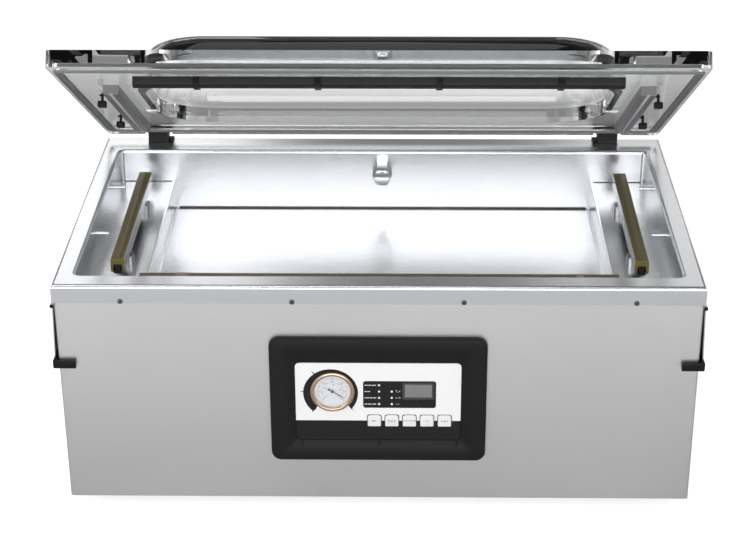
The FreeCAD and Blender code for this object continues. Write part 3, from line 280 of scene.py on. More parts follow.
def worked_finish(name, light, dark, metallic, roughness, spread=0.1, patches=9.0, grain=900.0,
                  stretch=(1, 1, 1), relief=0.15, depth=0.00005, **sockets):
    """A material whose colour, gloss and relief vary over the piece as its making leaves them."""
    made = plain_finish(name, light, metallic, roughness, **sockets)
    values = {"Light": (*light, 1), "Dark": (*dark, 1), "Stretch": stretch, "Patches": patches,
              "Roughness": roughness, "Spread": spread, "Grain": grain}
    return fed_by_group(made, worked, values, relief, depth)


def shade_smooth(bm, sharp):
    """Shade every face smooth and mark the edges that bend by more than an angle as sharp."""
    for face in bm.faces:
        face.smooth = True
    for edge in bm.edges:
        edge.smooth = edge.calc_face_angle(0.0) < math.radians(sharp)


def linked(name, mesh):
    """A new object in the scene for a mesh."""
    made = bpy.data.objects.new(name, mesh)
    bpy.context.scene.collection.objects.link(made)
    return made


def finished(name, bm, material, body, record_slot, sharp=32, stands_for=()):
    """A piece from a filled bmesh: smooth but for its sharp edges, riding on a body."""
    bmesh.ops.remove_doubles(bm, verts=bm.verts, dist=1e-7)
    bmesh.ops.recalc_face_normals(bm, faces=bm.faces)
    shade_smooth(bm, sharp)
    mesh = bpy.data.meshes.new(name)
    bm.to_mesh(mesh)
    bm.free()
    mesh.materials.append(material)
    made = linked(name, mesh)
    if stands_for:
        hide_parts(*stands_for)
    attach(made, body)
    return made


def faired(node, material, sharp=32):
    """A pressed or moulded part with its facets merged and its bends shaded as smooth curves."""
    source = frame["nodes"][node]
    bm = bmesh.new()
    bm.from_mesh(source.data)
    bmesh.ops.remove_doubles(bm, verts=bm.verts, dist=1e-6)
    mesh = bpy.data.meshes.new(node + "_faired")
    mesh.from_pydata([v.co[:] for v in bm.verts], [], [[v.index for v in f.verts] for f in bm.faces])
    bm.free()
    bm = bmesh.new()
    bm.from_mesh(mesh)
    shade_smooth(bm, sharp)
    bm.to_mesh(mesh)
    bm.free()
    mesh.materials.append(material)
    made = linked(node + "_faired", mesh)
    evening = made.modifiers.new("even_shading", "WEIGHTED_NORMAL")
    evening.keep_sharp = True
    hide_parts(node)
    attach(made, source["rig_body"])
    return made


def coated(material, *names):
    """Give CAD parts a finish in place of their plain one."""
    for name in names:
        for place in frame["nodes"][name].material_slots:
            place.material = material


deck_satin = worked_finish("deck_satin", (0.79, 0.80, 0.82), (0.765, 0.775, 0.795), 1.0, 0.27, spread=0.03,
                           patches=4.0, grain=1400.0, relief=0.015)
faired("chamber_tank", deck_satin)


def add_box(bm, low, high, edge=0.0, steps=3):
    """A box between two corners, its edges rounded."""
    made = bmesh.ops.create_cube(bm, size=1)["verts"]
    for corner in made:
        corner.co = Vector(low[i] + (corner.co[i] + 0.5) * (high[i] - low[i]) for i in range(3))
    if edge:
        edges = list({link for corner in made for link in corner.link_edges})
        bmesh.ops.bevel(bm, geom=edges, offset=edge, segments=steps, affect="EDGES", profile=0.5)


# The joint of floor and back wall is welded from below, which leaves a fine brown line.
weld_tint = worked_finish("weld_tint", (0.22, 0.17, 0.14), (0.10, 0.08, 0.07), 1.0, 0.35, patches=60.0)
tank_low, tank_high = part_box("chamber_tank")
back_wall = 0.166
well_side = 0.261
welds = bmesh.new()
add_box(welds, (-well_side + 0.004, back_wall - 0.0016, tank_low.z + 0.0029),
        (well_side - 0.004, back_wall - 0.0002, tank_low.z + 0.0036), 0.0003, 2)
for side in (-1, 1):
    across = sorted((side * 0.2645, side * 0.3255))
    add_box(welds, (across[0], back_wall - 0.0007, tank_high.z - 0.042),
            (across[1], back_wall + 0.0001, tank_high.z - 0.0412), 0.0003, 2)
finished("chamber_weld_lines", welds, weld_tint, "cabinet", "deck_steel")


# ------------------------------------------------------------------ cover screws
# Twelve dark domed screws through the skirt into the sheets behind it: rolled heads with a
# hexagon socket.

def geometry_tree(name, inputs):
    """A Geometry Nodes tree that takes a mesh and named sizes; gives tree, inputs and output node."""
    tree = bpy.data.node_groups.new(name, "GeometryNodeTree")
    tree.interface.new_socket(name="Geometry", in_out="INPUT", socket_type="NodeSocketGeometry")
    for label, kind, value in inputs:
        socket = tree.interface.new_socket(name=label, in_out="INPUT", socket_type="NodeSocket" + kind)
        if value is not None:
            socket.default_value = value
    tree.interface.new_socket(name="Geometry", in_out="OUTPUT", socket_type="NodeSocketGeometry")
    return tree, tree.nodes.new("NodeGroupInput").outputs, tree.nodes.new("NodeGroupOutput").inputs[0]


def step(tree, kind, feeds, **settings):
    """A node of a kind, its settings set and its inputs fed with values or sockets."""
    made = tree.nodes.new(kind)
    for label, value in settings.items():
        setattr(made, label, value)
    for label, value in feeds.items():
        if isinstance(value, bpy.types.NodeSocket):
            wire(tree, value, made.inputs[label])
        else:
            made.inputs[label].default_value = value
    return made


def close_tree(tree, geometry, material, end):
    """Realize the instances and set their material at the end of a tree."""
    real = step(tree, "GeometryNodeRealizeInstances", {"Geometry": geometry})
    painted = step(tree, "GeometryNodeSetMaterial", {"Geometry": real.outputs[0], "Material": material})
    wire(tree, painted.outputs[0], end)


def grown(name, tree, points, sizes, body, facing=None, stands_for=(), sharp=32):
    """Run a tree over points, with its named inputs set, and keep the result as a plain mesh."""
    seeds = bpy.data.meshes.new(name + "_seeds")
    seeds.from_pydata(points, [], [])
    if facing:
        heading = seeds.attributes.new("facing", "FLOAT_VECTOR", "POINT")
        for place, way in enumerate(facing):
            heading.data[place].vector = way
    seed = linked(name + "_seed", seeds)
    maker = seed.modifiers.new("maker", "NODES")
    maker.node_group = tree
    for socket in tree.interface.items_tree:
        if socket.in_out == "INPUT" and socket.name in sizes:
            maker[socket.identifier] = sizes[socket.name]
    evaluated = seed.evaluated_get(bpy.context.evaluated_depsgraph_get())
    mesh = bpy.data.meshes.new_from_object(evaluated)
    bpy.data.objects.remove(seed)
    mesh.name = name
    bm = bmesh.new()
    bm.from_mesh(mesh)
    shade_smooth(bm, sharp)
    bm.to_mesh(mesh)
    bm.free()
    made = linked(name, mesh)
    if stands_for:
        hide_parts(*stands_for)
    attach(made, body)
    return made


screw_dark = worked_finish("screw_dark", (0.16, 0.16, 0.17), (0.09, 0.09, 0.10), 1.0, 0.3, patches=200.0)
screw_bright = worked_finish("screw_bright", (0.66, 0.66, 0.67), (0.5, 0.5, 0.52), 1.0, 0.25, patches=200.0)


def scaled(tree, value, factor):
    """A size times a factor."""
    return sum_step(tree, "MULTIPLY", value, factor)


def facing_points(tree, points, instance):
    """An instance on every point, turned to its point's facing."""
    way = step(tree, "GeometryNodeInputNamedAttribute", {"Name": "facing"}, data_type="FLOAT_VECTOR")
    turn = step(tree, "FunctionNodeAlignRotationToVector", {"Vector": way.outputs["Attribute"]}, axis="Z")
    feeds = {"Points": points, "Instance": instance, "Rotation": turn.outputs[0]}
    return step(tree, "GeometryNodeInstanceOnPoints", feeds).outputs[0]


def screw_tree(name, material):
    """Domed heads with a hexagon socket on every point, each facing its own way."""
    sizes = [("Head Radius", "Float", 0.003), ("Head Height", "Float", 0.0016)]
    tree, given, end = geometry_tree(name, sizes)
    radius = given["Head Radius"]
    height = given["Head Height"]

    def tier(low_share, high_share, tall_share):
        """One tier of the head, its radii and height as shares of the head's own."""
        return step(tree, "GeometryNodeMeshCone", {
            "Vertices": 28, "Side Segments": 1, "Depth": scaled(tree, height, tall_share),
            "Radius Bottom": scaled(tree, radius, low_share),
            "Radius Top": scaled(tree, radius, high_share)}).outputs["Mesh"]

    def moved_up(mesh, rise):
        """A mesh moved up by a size."""
        way_up = step(tree, "ShaderNodeCombineXYZ", {"Z": rise}).outputs[0]
        return step(tree, "GeometryNodeTransform", {"Geometry": mesh, "Translation": way_up}).outputs[0]

    joined = step(tree, "GeometryNodeJoinGeometry", {})
    wire(tree, tier(1.0, 0.93, 0.45), joined.inputs[0])
    wire(tree, moved_up(tier(0.93, 0.62, 0.55), scaled(tree, height, 0.45)), joined.inputs[0])
    merged = step(tree, "GeometryNodeMergeByDistance", {"Geometry": joined.outputs[0], "Distance": 0.00001})
    well = step(tree, "GeometryNodeMeshCylinder", {
        "Vertices": 6, "Radius": scaled(tree, radius, 0.42), "Depth": height})
    sunk = moved_up(well.outputs["Mesh"], height)
    head = step(tree, "GeometryNodeMeshBoolean", {"Mesh 1": merged.outputs[0], "Mesh 2": sunk},
                operation="DIFFERENCE", solver="EXACT")
    close_tree(tree, facing_points(tree, given["Geometry"], head.outputs["Mesh"]), material, end)
    return tree


dark_screws = screw_tree("dark_screw_heads", screw_dark)
bright_screws = screw_tree("bright_screw_heads", screw_bright)
screw_low, screw_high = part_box("cover_screws")
screw_level = (screw_low.z + screw_high.z) / 2
spots = []
ways = []
for across in (-0.276, -0.092, 0.092, 0.276):
    for way in (-1, 1):
        spots.append((across, way * tank_high.y, screw_level))
        ways.append((0, way, 0))
for along in (-0.150, 0.150):
    for way in (-1, 1):
        spots.append((way * tank_high.x, along, screw_level))
        ways.append((way, 0, 0))
grown(
    "skirt_screws", dark_screws, spots, {"Head Radius": 0.003, "Head Height": 0.0016}, "cabinet",
    facing=ways, stands_for=["cover_screws"])


# ------------------------------------------------------------------ cabinet sheets
# Front and sides are one folded stainless sheet, the back a separate cover and the bottom a tray.
# They carry a fine brushed grain that runs level round the cabinet.

cabinet_satin = worked_finish(
    "cabinet_satin", (0.86, 0.86, 0.86), (0.82, 0.82, 0.82), 1.0, 0.36, spread=0.10, patches=5.0,
    grain=500.0, stretch=(0.02, 0.02, 1.0), relief=0.10, Anisotropic=0.2)
faired("casing", cabinet_satin)
coated(cabinet_satin, "base_plate", "rear_cover")


# ------------------------------------------------------------------ rubber feet
# Four black rubber feet with a grip ring in the sole, each held by a screw through its middle.

def add_loft(bm, rings, ends=True, loop=False):
    """Skin a row of rings of equal count; close the ends, or join the last ring to the first."""
    rows = [[bm.verts.new(point) for point in ring] for ring in rings]
    count = len(rows[0])
    pairs = list(zip(rows, rows[1:])) + ([(rows[-1], rows[0])] if loop else [])
    for first, second in pairs:
        for place in range(count):
            following = (place + 1) % count
            bm.faces.new((first[place], first[following], second[following], second[place]))
    if ends and not loop:
        bm.faces.new(rows[0])
        bm.faces.new(rows[-1])


def add_turned(bm, profile, centre, along, steps=40, loop=False):
    """Turn (radius, distance) corners about a line through centre; a zero radius closes an end."""
    axis = Vector(along).normalized()
    first = axis.orthogonal().normalized()
    second = axis.cross(first)
    rings = []
    for radius, distance in profile:
        middle = Vector(centre) + axis * distance
        rings.append([middle + max(radius, 1e-6) * (math.cos(turn) * first + math.sin(turn) * second)
                      for turn in (2 * math.pi * place / steps for place in range(steps))])
    add_loft(bm, rings, loop=loop)


foot_rubber = worked_finish(
    "foot_rubber", (0.035, 0.035, 0.035), (0.02, 0.02, 0.02), 0.0, 0.75, grain=1500.0, relief=0.4)
foot_profile = [(0.005, 0.0004), (0.0054, 0.0), (0.0105, 0.0), (0.0108, 0.0008), (0.0122, 0.0008),
                (0.0125, 0.0), (0.0152, 0.0), (0.0164, 0.001), (0.018, 0.012), (0.005, 0.012)]
foot_spots = [(across, along) for across in (-0.290, 0.290) for along in (-0.150, 0.150)]
feet = bmesh.new()
for across, along in foot_spots:
    add_turned(feet, foot_profile, (across, along, 0), (0, 0, 1), loop=True)
finished("rubber_feet_moulded", feet, foot_rubber, "cabinet", "foot_rubber", stands_for=["rubber_feet"])
grown("foot_screws", bright_screws, [(across, along, 0.006) for across, along in foot_spots],
      {"Head Radius": 0.0046, "Head Height": 0.0024}, "cabinet", facing=[(0, 0, -1)] * 4)


# ------------------------------------------------------------------ lid
# A clear acrylic plate, 18 mm thick, with a dome blown up from its middle and polished edges.
# It stands open on its hinges; pieces on it are laid out closed and then swung up with it.

joints = {joint["name"]: joint for joint in frame["joints"]}
lid_joint = joints["lid_hinge"]
lid_pivot = Vector(lid_joint["pos_m"])
lid_gap = 0.003
lid_thickness = 0.018
swung_up = (Matrix.Translation(lid_pivot)
            @ Matrix.Rotation(-math.radians(lid_joint["range_deg"][1]), 4, "X")
            @ Matrix.Translation(-lid_pivot))
lid_under = tank_high.z + lid_gap
lid_top = lid_under + lid_thickness

# The dome is clear but for its front wall, painted dark where it rounds over to the top, with its
# gloss lowered there. That dark is a painted reflection, fixed to the piece; from the front of the
# closed lid it is a black stripe.
clear_acrylic = plain_finish(
    "clear_acrylic", (0.975, 0.985, 0.985), 0.0, 0.0, Transmission_Weight=1.0, IOR=1.49)
acrylic_tree = clear_acrylic.node_tree
acrylic = acrylic_tree.nodes["Principled BSDF"]
on_acrylic = acrylic_tree.nodes.new("ShaderNodeSeparateXYZ")
wire(acrylic_tree, acrylic_tree.nodes.new("ShaderNodeTexCoord").outputs["Object"], on_acrylic.inputs[0])


def closed_distance(way, start):
    """How far a point lies along a direction of the closed lid, beyond a start."""
    swung = swung_up.to_3x3() @ Vector(way)
    offset = Vector(way).dot(lid_pivot) - swung.dot(lid_pivot) - start
    return sum_step(
        acrylic_tree, "ADD", sum_step(acrylic_tree, "MULTIPLY", on_acrylic.outputs["Y"], swung.y),
        sum_step(acrylic_tree, "MULTIPLY_ADD", on_acrylic.outputs["Z"], swung.z, offset))


raised = sum_step(acrylic_tree, "MULTIPLY", closed_distance((0, 0, 1), lid_top + 0.004), 150.0, clamp=True)
forward = sum_step(acrylic_tree, "MULTIPLY", closed_distance((0, -1, 0), 0.100), 60.0, clamp=True)
# The band of painted reflection on the dome's front wall: near black, with less gloss.
painted_dark_band = sum_step(acrylic_tree, "MULTIPLY", raised, forward)
wire(acrylic_tree, blend_step(acrylic_tree, painted_dark_band, (0.975, 0.985, 0.985), (0.004, 0.004, 0.004)),
     acrylic.inputs["Base Color"])
wire(
    acrylic_tree, sum_step(acrylic_tree, "MULTIPLY_ADD", painted_dark_band, -0.4, 0.5),
    acrylic.inputs["Specular IOR Level"])
faired("lid_shell", clear_acrylic, sharp=40)


def on_lid(name, bm, material, record_slot, **options):
    """Finish a piece laid out on the closed lid, swung up to where the lid stands."""
    bmesh.ops.transform(bm, matrix=swung_up, verts=bm.verts)
    return finished(name, bm, material, "lid", record_slot, **options)


# ------------------------------------------------------------------ lid seal
# A grey silicone seal set in a groove round the lid's underside: a flat back and two soft lips.

def rounded_outline(half_width, low, high, radius, steps=6):
    """Points of a rectangle with round corners, anticlockwise, as (across, along)."""
    points = []
    corners = [(half_width - radius, low + radius, -90), (half_width - radius, high - radius, 0),
               (-half_width + radius, high - radius, 90), (-half_width + radius, low + radius, 180)]
    for across, along, start in corners:
        for place in range(steps + 1):
            turn = math.radians(start + 90 * place / steps)
            points.append((across + radius * math.cos(turn), along + radius * math.sin(turn)))
    return points


silicone_grey = worked_finish(
    "silicone_grey", (0.24, 0.245, 0.25), (0.17, 0.175, 0.18), 0.0, 0.42, grain=700.0, relief=0.2)
seal_profile = [(0.0002, 0.0058), (0.0002, 0.0), (0.0016, -0.0022), (0.0028, -0.0025), (0.0040, -0.0008),
                (0.0060, -0.0008), (0.0072, -0.0025), (0.0084, -0.0022), (0.0098, 0.0), (0.0098, 0.0058)]
seal = bmesh.new()
add_loft(seal, [[(x, y, lid_under + rise) for x, y in
                 rounded_outline(0.342 - inset, -0.200 + inset, 0.180 - inset, 0.014 - inset * 0.8)]
                for inset, rise in seal_profile], loop=True)
on_lid("lid_seal", seal, silicone_grey, "gasket_rubber", sharp=50, stands_for=["lid_gasket"])


# ------------------------------------------------------------------ counter bars
# The bars under the lid that the hot bars press against: black silicone with a crowned face at the
# front, and a grey channel section with a pale strip in it at each side.

def add_section(bm, section, low, high, across_lid):
    """Sweep a closed (sideways, height) outline along X if across_lid, or else along Y."""
    def lay(place):
        return [(place, s, h) if across_lid else (s, place, h) for s, h in section]
    add_loft(bm, [lay(low), lay(high)])


silicone_black = worked_finish("silicone_black", (0.016, 0.016, 0.017), (0.010, 0.010, 0.011), 0.0, 0.45,
                               grain=500.0, relief=0.15, Specular_IOR_Level=0.25)
front_middle = -0.157
press_low = lid_under - 0.011
crown = [(front_middle + 0.0085 * math.cos(turn), press_low + 0.0035 - 0.0035 * math.sin(turn))
         for turn in (math.pi * place / 12 for place in range(13))]
front_press = bmesh.new()
add_section(
    front_press,
    [(front_middle - 0.0085, lid_under), *reversed(crown), (front_middle + 0.0085, lid_under)], -0.2615,
    0.2615, True)
on_lid("counter_bar_front_moulded", front_press, silicone_black, "counter_silicone",
       stands_for=["counter_bar_front"])

bar_grey = worked_finish(
    "bar_grey", (0.20, 0.20, 0.205), (0.15, 0.15, 0.155), 0.35, 0.34, grain=400.0, relief=0.1)
strip_pale = worked_finish("strip_pale", (0.60, 0.60, 0.60), (0.5, 0.5, 0.5), 0.0, 0.5, grain=900.0)
for side, sign in (("left", -1), ("right", 1)):
    middle = sign * 0.292
    half_section = [(0.0085, lid_under), (0.0085, press_low + 0.001), (0.0075, press_low),
                    (0.0028, press_low), (0.0022, press_low + 0.0012)]
    section = [(middle - aside, level) for aside, level in half_section]
    section += [(middle + aside, level) for aside, level in reversed(half_section)]
    rail = bmesh.new()
    add_section(rail, section, -0.117, 0.129, False)
    on_lid(
        "counter_bar_%s_moulded" % side, rail, bar_grey, "counter_grey",
        stands_for=["counter_bar_" + side])
    strip = bmesh.new()
    add_box(
        strip, (middle - 0.0019, -0.1168, press_low + 0.0003),
        (middle + 0.0019, 0.1288, press_low + 0.0014), 0.0003, 2)
    on_lid("counter_strip_" + side, strip, strip_pale, "counter_grey")


# ------------------------------------------------------------------ bar clips
# Black nylon straps round the front counter bar, each pinched by a small screw boss on its front.

nylon_black = worked_finish(
    "nylon_black", (0.008, 0.008, 0.009), (0.005, 0.005, 0.005), 0.0, 0.45, grain=900.0,
    Specular_IOR_Level=0.2)
clips = bmesh.new()
for across in (-0.194, -0.194 / 3, 0.194 / 3, 0.194):
    left = across - 0.0035
    right = across + 0.0035
    for near, far in ((-0.0099, -0.0087), (0.0087, 0.0099)):
        add_box(
            clips, (left, front_middle + near, press_low - 0.0001),
            (right, front_middle + far, lid_under), 0.0004, 2)
    add_box(clips, (left, front_middle - 0.0099, press_low - 0.0002),
            (right, front_middle + 0.0099, press_low + 0.0011), 0.0004, 2)
    add_turned(clips, [(0.0026, 0.0), (0.0026, 0.0022), (0.0020, 0.0030), (0.0, 0.0031)],
               (across + 0.0008, front_middle - 0.0095, lid_under - 0.0035), (0, -1, 0), steps=20)
on_lid("bar_clips_moulded", clips, nylon_black, "clip_black", stands_for=["bar_clips"])


# ------------------------------------------------------------------ bag pegs
# Black pegs by the gas nozzles, with a square foot, a thin stem and a cross tab under the lid.

pegs = bmesh.new()
for side in (-1, 1):
    for along in (-0.069, 0.064):
        middle = side * 0.309
        foot = lid_under - 0.016
        add_box(
            pegs, (middle - 0.0047, along - 0.0047, foot),
            (middle + 0.0047, along + 0.0047, foot + 0.0068), 0.0008)
        add_turned(
            pegs, [(0.0024, 0.0066), (0.0016, 0.0080), (0.0014, 0.0160)], (middle, along, foot),
            (0, 0, 1), steps=20)
        add_box(
            pegs, (middle - 0.0034, along - 0.0012, lid_under - 0.0036),
            (middle + 0.002, along + 0.0012, lid_under - 0.0014), 0.0004, 2)
on_lid("bag_pegs_moulded", pegs, nylon_black, "clip_black", stands_for=["bag_press_knobs"])


# ------------------------------------------------------------------ hinges
# Powder-coated cast bases stand in notches of the lid. A stainless leaf is screwed to the lid's top,
# and a steel torsion spring round the pin carries the lid's weight.

powder_black = worked_finish(
    "powder_black", (0.012, 0.012, 0.012), (0.008, 0.008, 0.008), 0.0, 0.45, grain=1300.0, relief=0.5,
    Specular_IOR_Level=0.3)
leaf_satin = worked_finish("leaf_satin", (0.70, 0.71, 0.73), (0.60, 0.61, 0.63), 1.0, 0.26, grain=600.0,
                           stretch=(0.05, 1, 1))
spring_steel = worked_finish("spring_steel", (0.42, 0.42, 0.44), (0.3, 0.3, 0.31), 1.0, 0.3, patches=80.0)
polished_steel = worked_finish(
    "polished_steel", (0.82, 0.83, 0.85), (0.76, 0.77, 0.79), 1.0, 0.10, spread=0.06, patches=40.0,
    relief=0.02)
for side in ("left", "right"):
    faired("hinge_base_" + side, powder_black)
    faired("hinge_leaf_" + side, leaf_satin)

coil_tree, coil_given, coil_end = geometry_tree("torsion_springs", [
    ("Wire Radius", "Float", 0.0008), ("Coil Radius", "Float", 0.0057), ("Length", "Float", 0.011),
    ("Turns", "Float", 5.5)])
helix = step(coil_tree, "GeometryNodeCurveSpiral", {
    "Resolution": 24, "Rotations": coil_given["Turns"], "Start Radius": coil_given["Coil Radius"],
    "End Radius": coil_given["Coil Radius"], "Height": coil_given["Length"]})
wire_circle = step(coil_tree, "GeometryNodeCurvePrimitiveCircle", {
    "Resolution": 10, "Radius": coil_given["Wire Radius"]})
coil_mesh = step(coil_tree, "GeometryNodeCurveToMesh", {
    "Curve": helix.outputs[0], "Profile Curve": wire_circle.outputs[0], "Fill Caps": True})
coils = facing_points(coil_tree, coil_given["Geometry"], coil_mesh.outputs[0])
close_tree(coil_tree, coils, spring_steel, coil_end)
grown(
    "hinge_springs_coiled", coil_tree, [(side * 0.2763, lid_pivot.y, lid_pivot.z) for side in (-1, 1)],
    {"Wire Radius": 0.0008, "Coil Radius": 0.0057, "Length": 0.0112, "Turns": 6.0}, "cabinet",
    facing=[(-1, 0, 0), (1, 0, 0)], stands_for=["hinge_springs"], sharp=60)

pins = bmesh.new()
for side in (-1, 1):
    add_turned(
        pins,
        [(0.0, 0.0), (0.0034, 0.0), (0.004, 0.0006), (0.004, 0.0334), (0.0034, 0.034), (0.0, 0.034)],
        (side * 0.265, lid_pivot.y, lid_pivot.z), (side, 0, 0), steps=32)
finished("hinge_pins_turned", pins, polished_steel, "cabinet", "fitting_steel", stands_for=["hinge_pins"])

leaf_spots = []
for side in (-1, 1):
    for across, back in ((0.269, 0.172), (0.295, 0.172), (0.269, 0.190), (0.295, 0.190)):
        leaf_spots.append(swung_up @ Vector((side * across, back, lid_top + 0.0025)))
leaf_way = (swung_up.to_3x3() @ Vector((0, 0, 1)))[:]
grown(
    "leaf_screws", bright_screws, leaf_spots, {"Head Radius": 0.0036, "Head Height": 0.0018}, "lid",
    facing=[leaf_way] * len(leaf_spots))


# ------------------------------------------------------------------ sealing bars
# An inverted aluminium channel on a black core. Coated glass cloth is stretched over the top and
# ends, and a heating band shows through it as a faint ridge; it lifts on two pistons.

cloth, inside, outside = shader_group(
    "coated_cloth", [("Vector", "Vector"), ("Light", "Color"), ("Dark", "Color"), ("Threads", "Float")],
    [("Color", "Color"), ("Roughness", "Float"), ("Height", "Float")])
thread_split = cloth.nodes.new("ShaderNodeSeparateXYZ")
wire(cloth, inside["Vector"], thread_split.inputs[0])
warp = sum_step(cloth, "SINE", sum_step(cloth, "MULTIPLY", thread_split.outputs["X"], inside["Threads"]))
weft = sum_step(cloth, "SINE", sum_step(cloth, "MULTIPLY", thread_split.outputs["Y"], inside["Threads"]))
weave = sum_step(cloth, "MULTIPLY_ADD", sum_step(cloth, "MULTIPLY", warp, weft), 0.5, 0.5)
stains = noise_step(cloth, inside["Vector"], 45.0)
wire(cloth, blend_step(cloth, stains, inside["Dark"], inside["Light"]), outside["Color"])
wire(cloth, sum_step(cloth, "MULTIPLY_ADD", stains, 0.16, 0.26), outside["Roughness"])
wire(cloth, weave, outside["Height"])


def cloth_finish(name, light, dark):
    """Glass cloth under a glossy coating, its threads showing as a fine relief."""
    made = plain_finish(name, light, 0.0, 0.45, Specular_IOR_Level=0.2)
    values = {"Light": (*light, 1), "Dark": (*dark, 1), "Threads": 6000.0}
    return fed_by_group(made, cloth, values, 0.12, 0.00006)


olive_cloth = cloth_finish("olive_cloth", (0.150, 0.126, 0.050), (0.118, 0.098, 0.038))
# A lighter copy of the same cloth for the bar ends: painted light, for the brighter end faces.
olive_cloth_lit_copy = cloth_finish("olive_cloth_lit_copy", (0.270, 0.225, 0.060), (0.225, 0.185, 0.048))
channel_metal = worked_finish(
    "channel_metal", (0.52, 0.53, 0.55), (0.42, 0.43, 0.45), 1.0, 0.24, grain=500.0,
    stretch=(0.05, 0.05, 1))
core_black = worked_finish("core_black", (0.022, 0.022, 0.024), (0.014, 0.014, 0.015), 0.0, 0.45)

for name in ("left", "right", "front"):
    low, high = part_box("seal_cover_" + name)
    lengthwise = name == "front"
    body = "seal_" + name

    def lay(sideways, height, along):
        """A point on the bar from its place across, up and along it."""
        return (along, sideways, height) if lengthwise else (sideways, along, height)

    def add_swept(bm, outline, level, first, last, squeeze=1.0):
        """Sweep an outline, given from the bar's middle and a level, between two places along it."""
        section = [(middle + side * squeeze, level + drop) for side, drop in outline]
        add_loft(bm, [[lay(s, h, place) for s, h in section] for place in (first, last)])

    start, stop = (low.x, high.x) if lengthwise else (low.y, high.y)
    near, far = (low.y, high.y) if lengthwise else (low.x, high.x)
    middle = (near + far) / 2
    half = (far - near) / 2
    wall = 0.003
    channel = bmesh.new()
    walls = [(-half, 0), (-half, -0.0157), (-half + wall - 0.0004, -0.0161), (-half + wall, -0.0157),
             (-half + wall, -0.0065), (half - wall, -0.0065), (half - wall, -0.0157),
             (half - wall + 0.0004, -0.0161), (half, -0.0157), (half, 0)]
    add_swept(channel, walls, high.z - 0.0004, start + 0.0006, stop - 0.0006, squeeze=0.985)
    finished(
        "seal_channel_" + name, channel, channel_metal, body, "bar_cover",
        stands_for=["seal_cover_" + name])

    over = [
        (-half, -0.0022), (-half, -0.0006), (-half + 0.0006, 0.0), (-0.0035, 0.0), (-0.003, 0.0003),
        (0.003, 0.0003), (0.0035, 0.0), (half - 0.0006, 0.0), (half, -0.0006), (half, -0.0022),
        (half - 0.0002, -0.0022), (half - 0.0008, -0.0004), (-half + 0.0008, -0.0004),
        (-half + 0.0002, -0.0022)]
    tape = bmesh.new()
    add_swept(tape, over, high.z - 0.0003, start + 0.0005, stop - 0.0005)
    finished("seal_cloth_" + name, tape, olive_cloth, body, "bar_cover")

    # The end caps wear the lighter copy of the cloth, which is painted light.
    caps = bmesh.new()
    arch = [
        (-half, -0.0150), (-half, -0.0008), (-half + 0.0008, 0.0), (half - 0.0008, 0.0), (half, -0.0008),
        (half, -0.0150), (half - wall, -0.0150), (half - wall, -0.0062), (-half + wall, -0.0062),
        (-half + wall, -0.0150)]
    for place, way in ((start, 1), (stop, -1)):
        add_swept(caps, arch, high.z - 0.0001, place, place + way * 0.0018)
    finished("seal_caps_" + name, caps, olive_cloth_lit_copy, body, "bar_cover")
    faired("seal_bar_" + name, core_black)
    coated(polished_steel, "lift_pistons_" + name)

# Short pale patches of new tape cover the joints of the front bar's cloth.
patch_beige = cloth_finish("patch_beige", (0.36, 0.30, 0.22), (0.31, 0.26, 0.19))
front_low, front_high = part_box("seal_cover_front")
patches = bmesh.new()
for left, right in ((-0.222, -0.208), (0.216, 0.224)):
    add_box(
        patches, (left, front_low.y + 0.0003, front_high.z - 0.0002),
        (right, front_high.y - 0.0003, front_high.z + 0.0002), 0.00015, 2)
finished("seal_patches", patches, patch_beige, "seal_front", "bar_cover")
aluminium_turned = worked_finish(
    "aluminium_turned", (0.62, 0.63, 0.64), (0.52, 0.53, 0.54), 1.0, 0.3, patches=60.0)
faired("lift_cylinders", aluminium_turned)


# ------------------------------------------------------------------ suction fitting
# A polished hexagonal fitting screwed through the back wall, its edges chamfered by turning.
# Air enters through holes on its underside, drawn as black discs of painted shade.

port_low, port_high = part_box("vacuum_port")
port_middle = (port_low.z + port_high.z) / 2
port_front = port_low.y


def six_sided(reach, place, steps=8):
    """Points round a hexagon with a flat on top, evenly spread on its sides."""
    turns = [math.radians(60 * corner) for corner in range(6)]
    corners = [Vector((reach * math.cos(turn), 0, reach * math.sin(turn))) for turn in turns]
    points = []
    for first, second in zip(corners, corners[1:] + corners[:1]):
        points += [
            (first.lerp(second, part / steps) + Vector((0, place, port_middle)))[:]
            for part in range(steps)]
    return points


def ringed(reach, place, steps=48):
    """Points round a circle to meet six_sided point for point."""
    turns = [2 * math.pi * part / steps for part in range(steps)]
    return [(reach * math.cos(turn), place, port_middle + reach * math.sin(turn)) for turn in turns]


port = bmesh.new()
add_loft(port, [
    ringed(0.0086, port_front), ringed(0.0096, port_front + 0.0003),
    six_sided(0.0114, port_front + 0.0014), six_sided(0.01205, port_front + 0.0034),
    six_sided(0.01205, back_wall - 0.0002), ringed(0.0066, back_wall), ringed(0.0066, port_high.y)])
finished(
    "suction_fitting", port, polished_steel, "cabinet", "fitting_steel", sharp=24,
    stands_for=["vacuum_port"])
# The holes are not cut: black discs on the underside give their painted shade.
hole_shade_black = worked_finish("hole_shade_black", (0.012, 0.012, 0.012), (0.008, 0.008, 0.008), 0.0, 0.6)
hole_shade_discs = bmesh.new()
for number in range(3):
    add_turned(hole_shade_discs, [(0.0017, 0.0), (0.0017, 0.0004), (0.0013, 0.0005), (0.0, 0.0005)],
               (0, port_front + 0.008 + 0.006 * number, port_middle - 0.01030), (0, 0, -1), steps=20)
finished("suction_hole_shade", hole_shade_discs, hole_shade_black, "cabinet", "fitting_steel")


# ------------------------------------------------------------------ gas nozzles
# Four thin bright tubes through the side walls, each with a collar on the wall and an open tip.

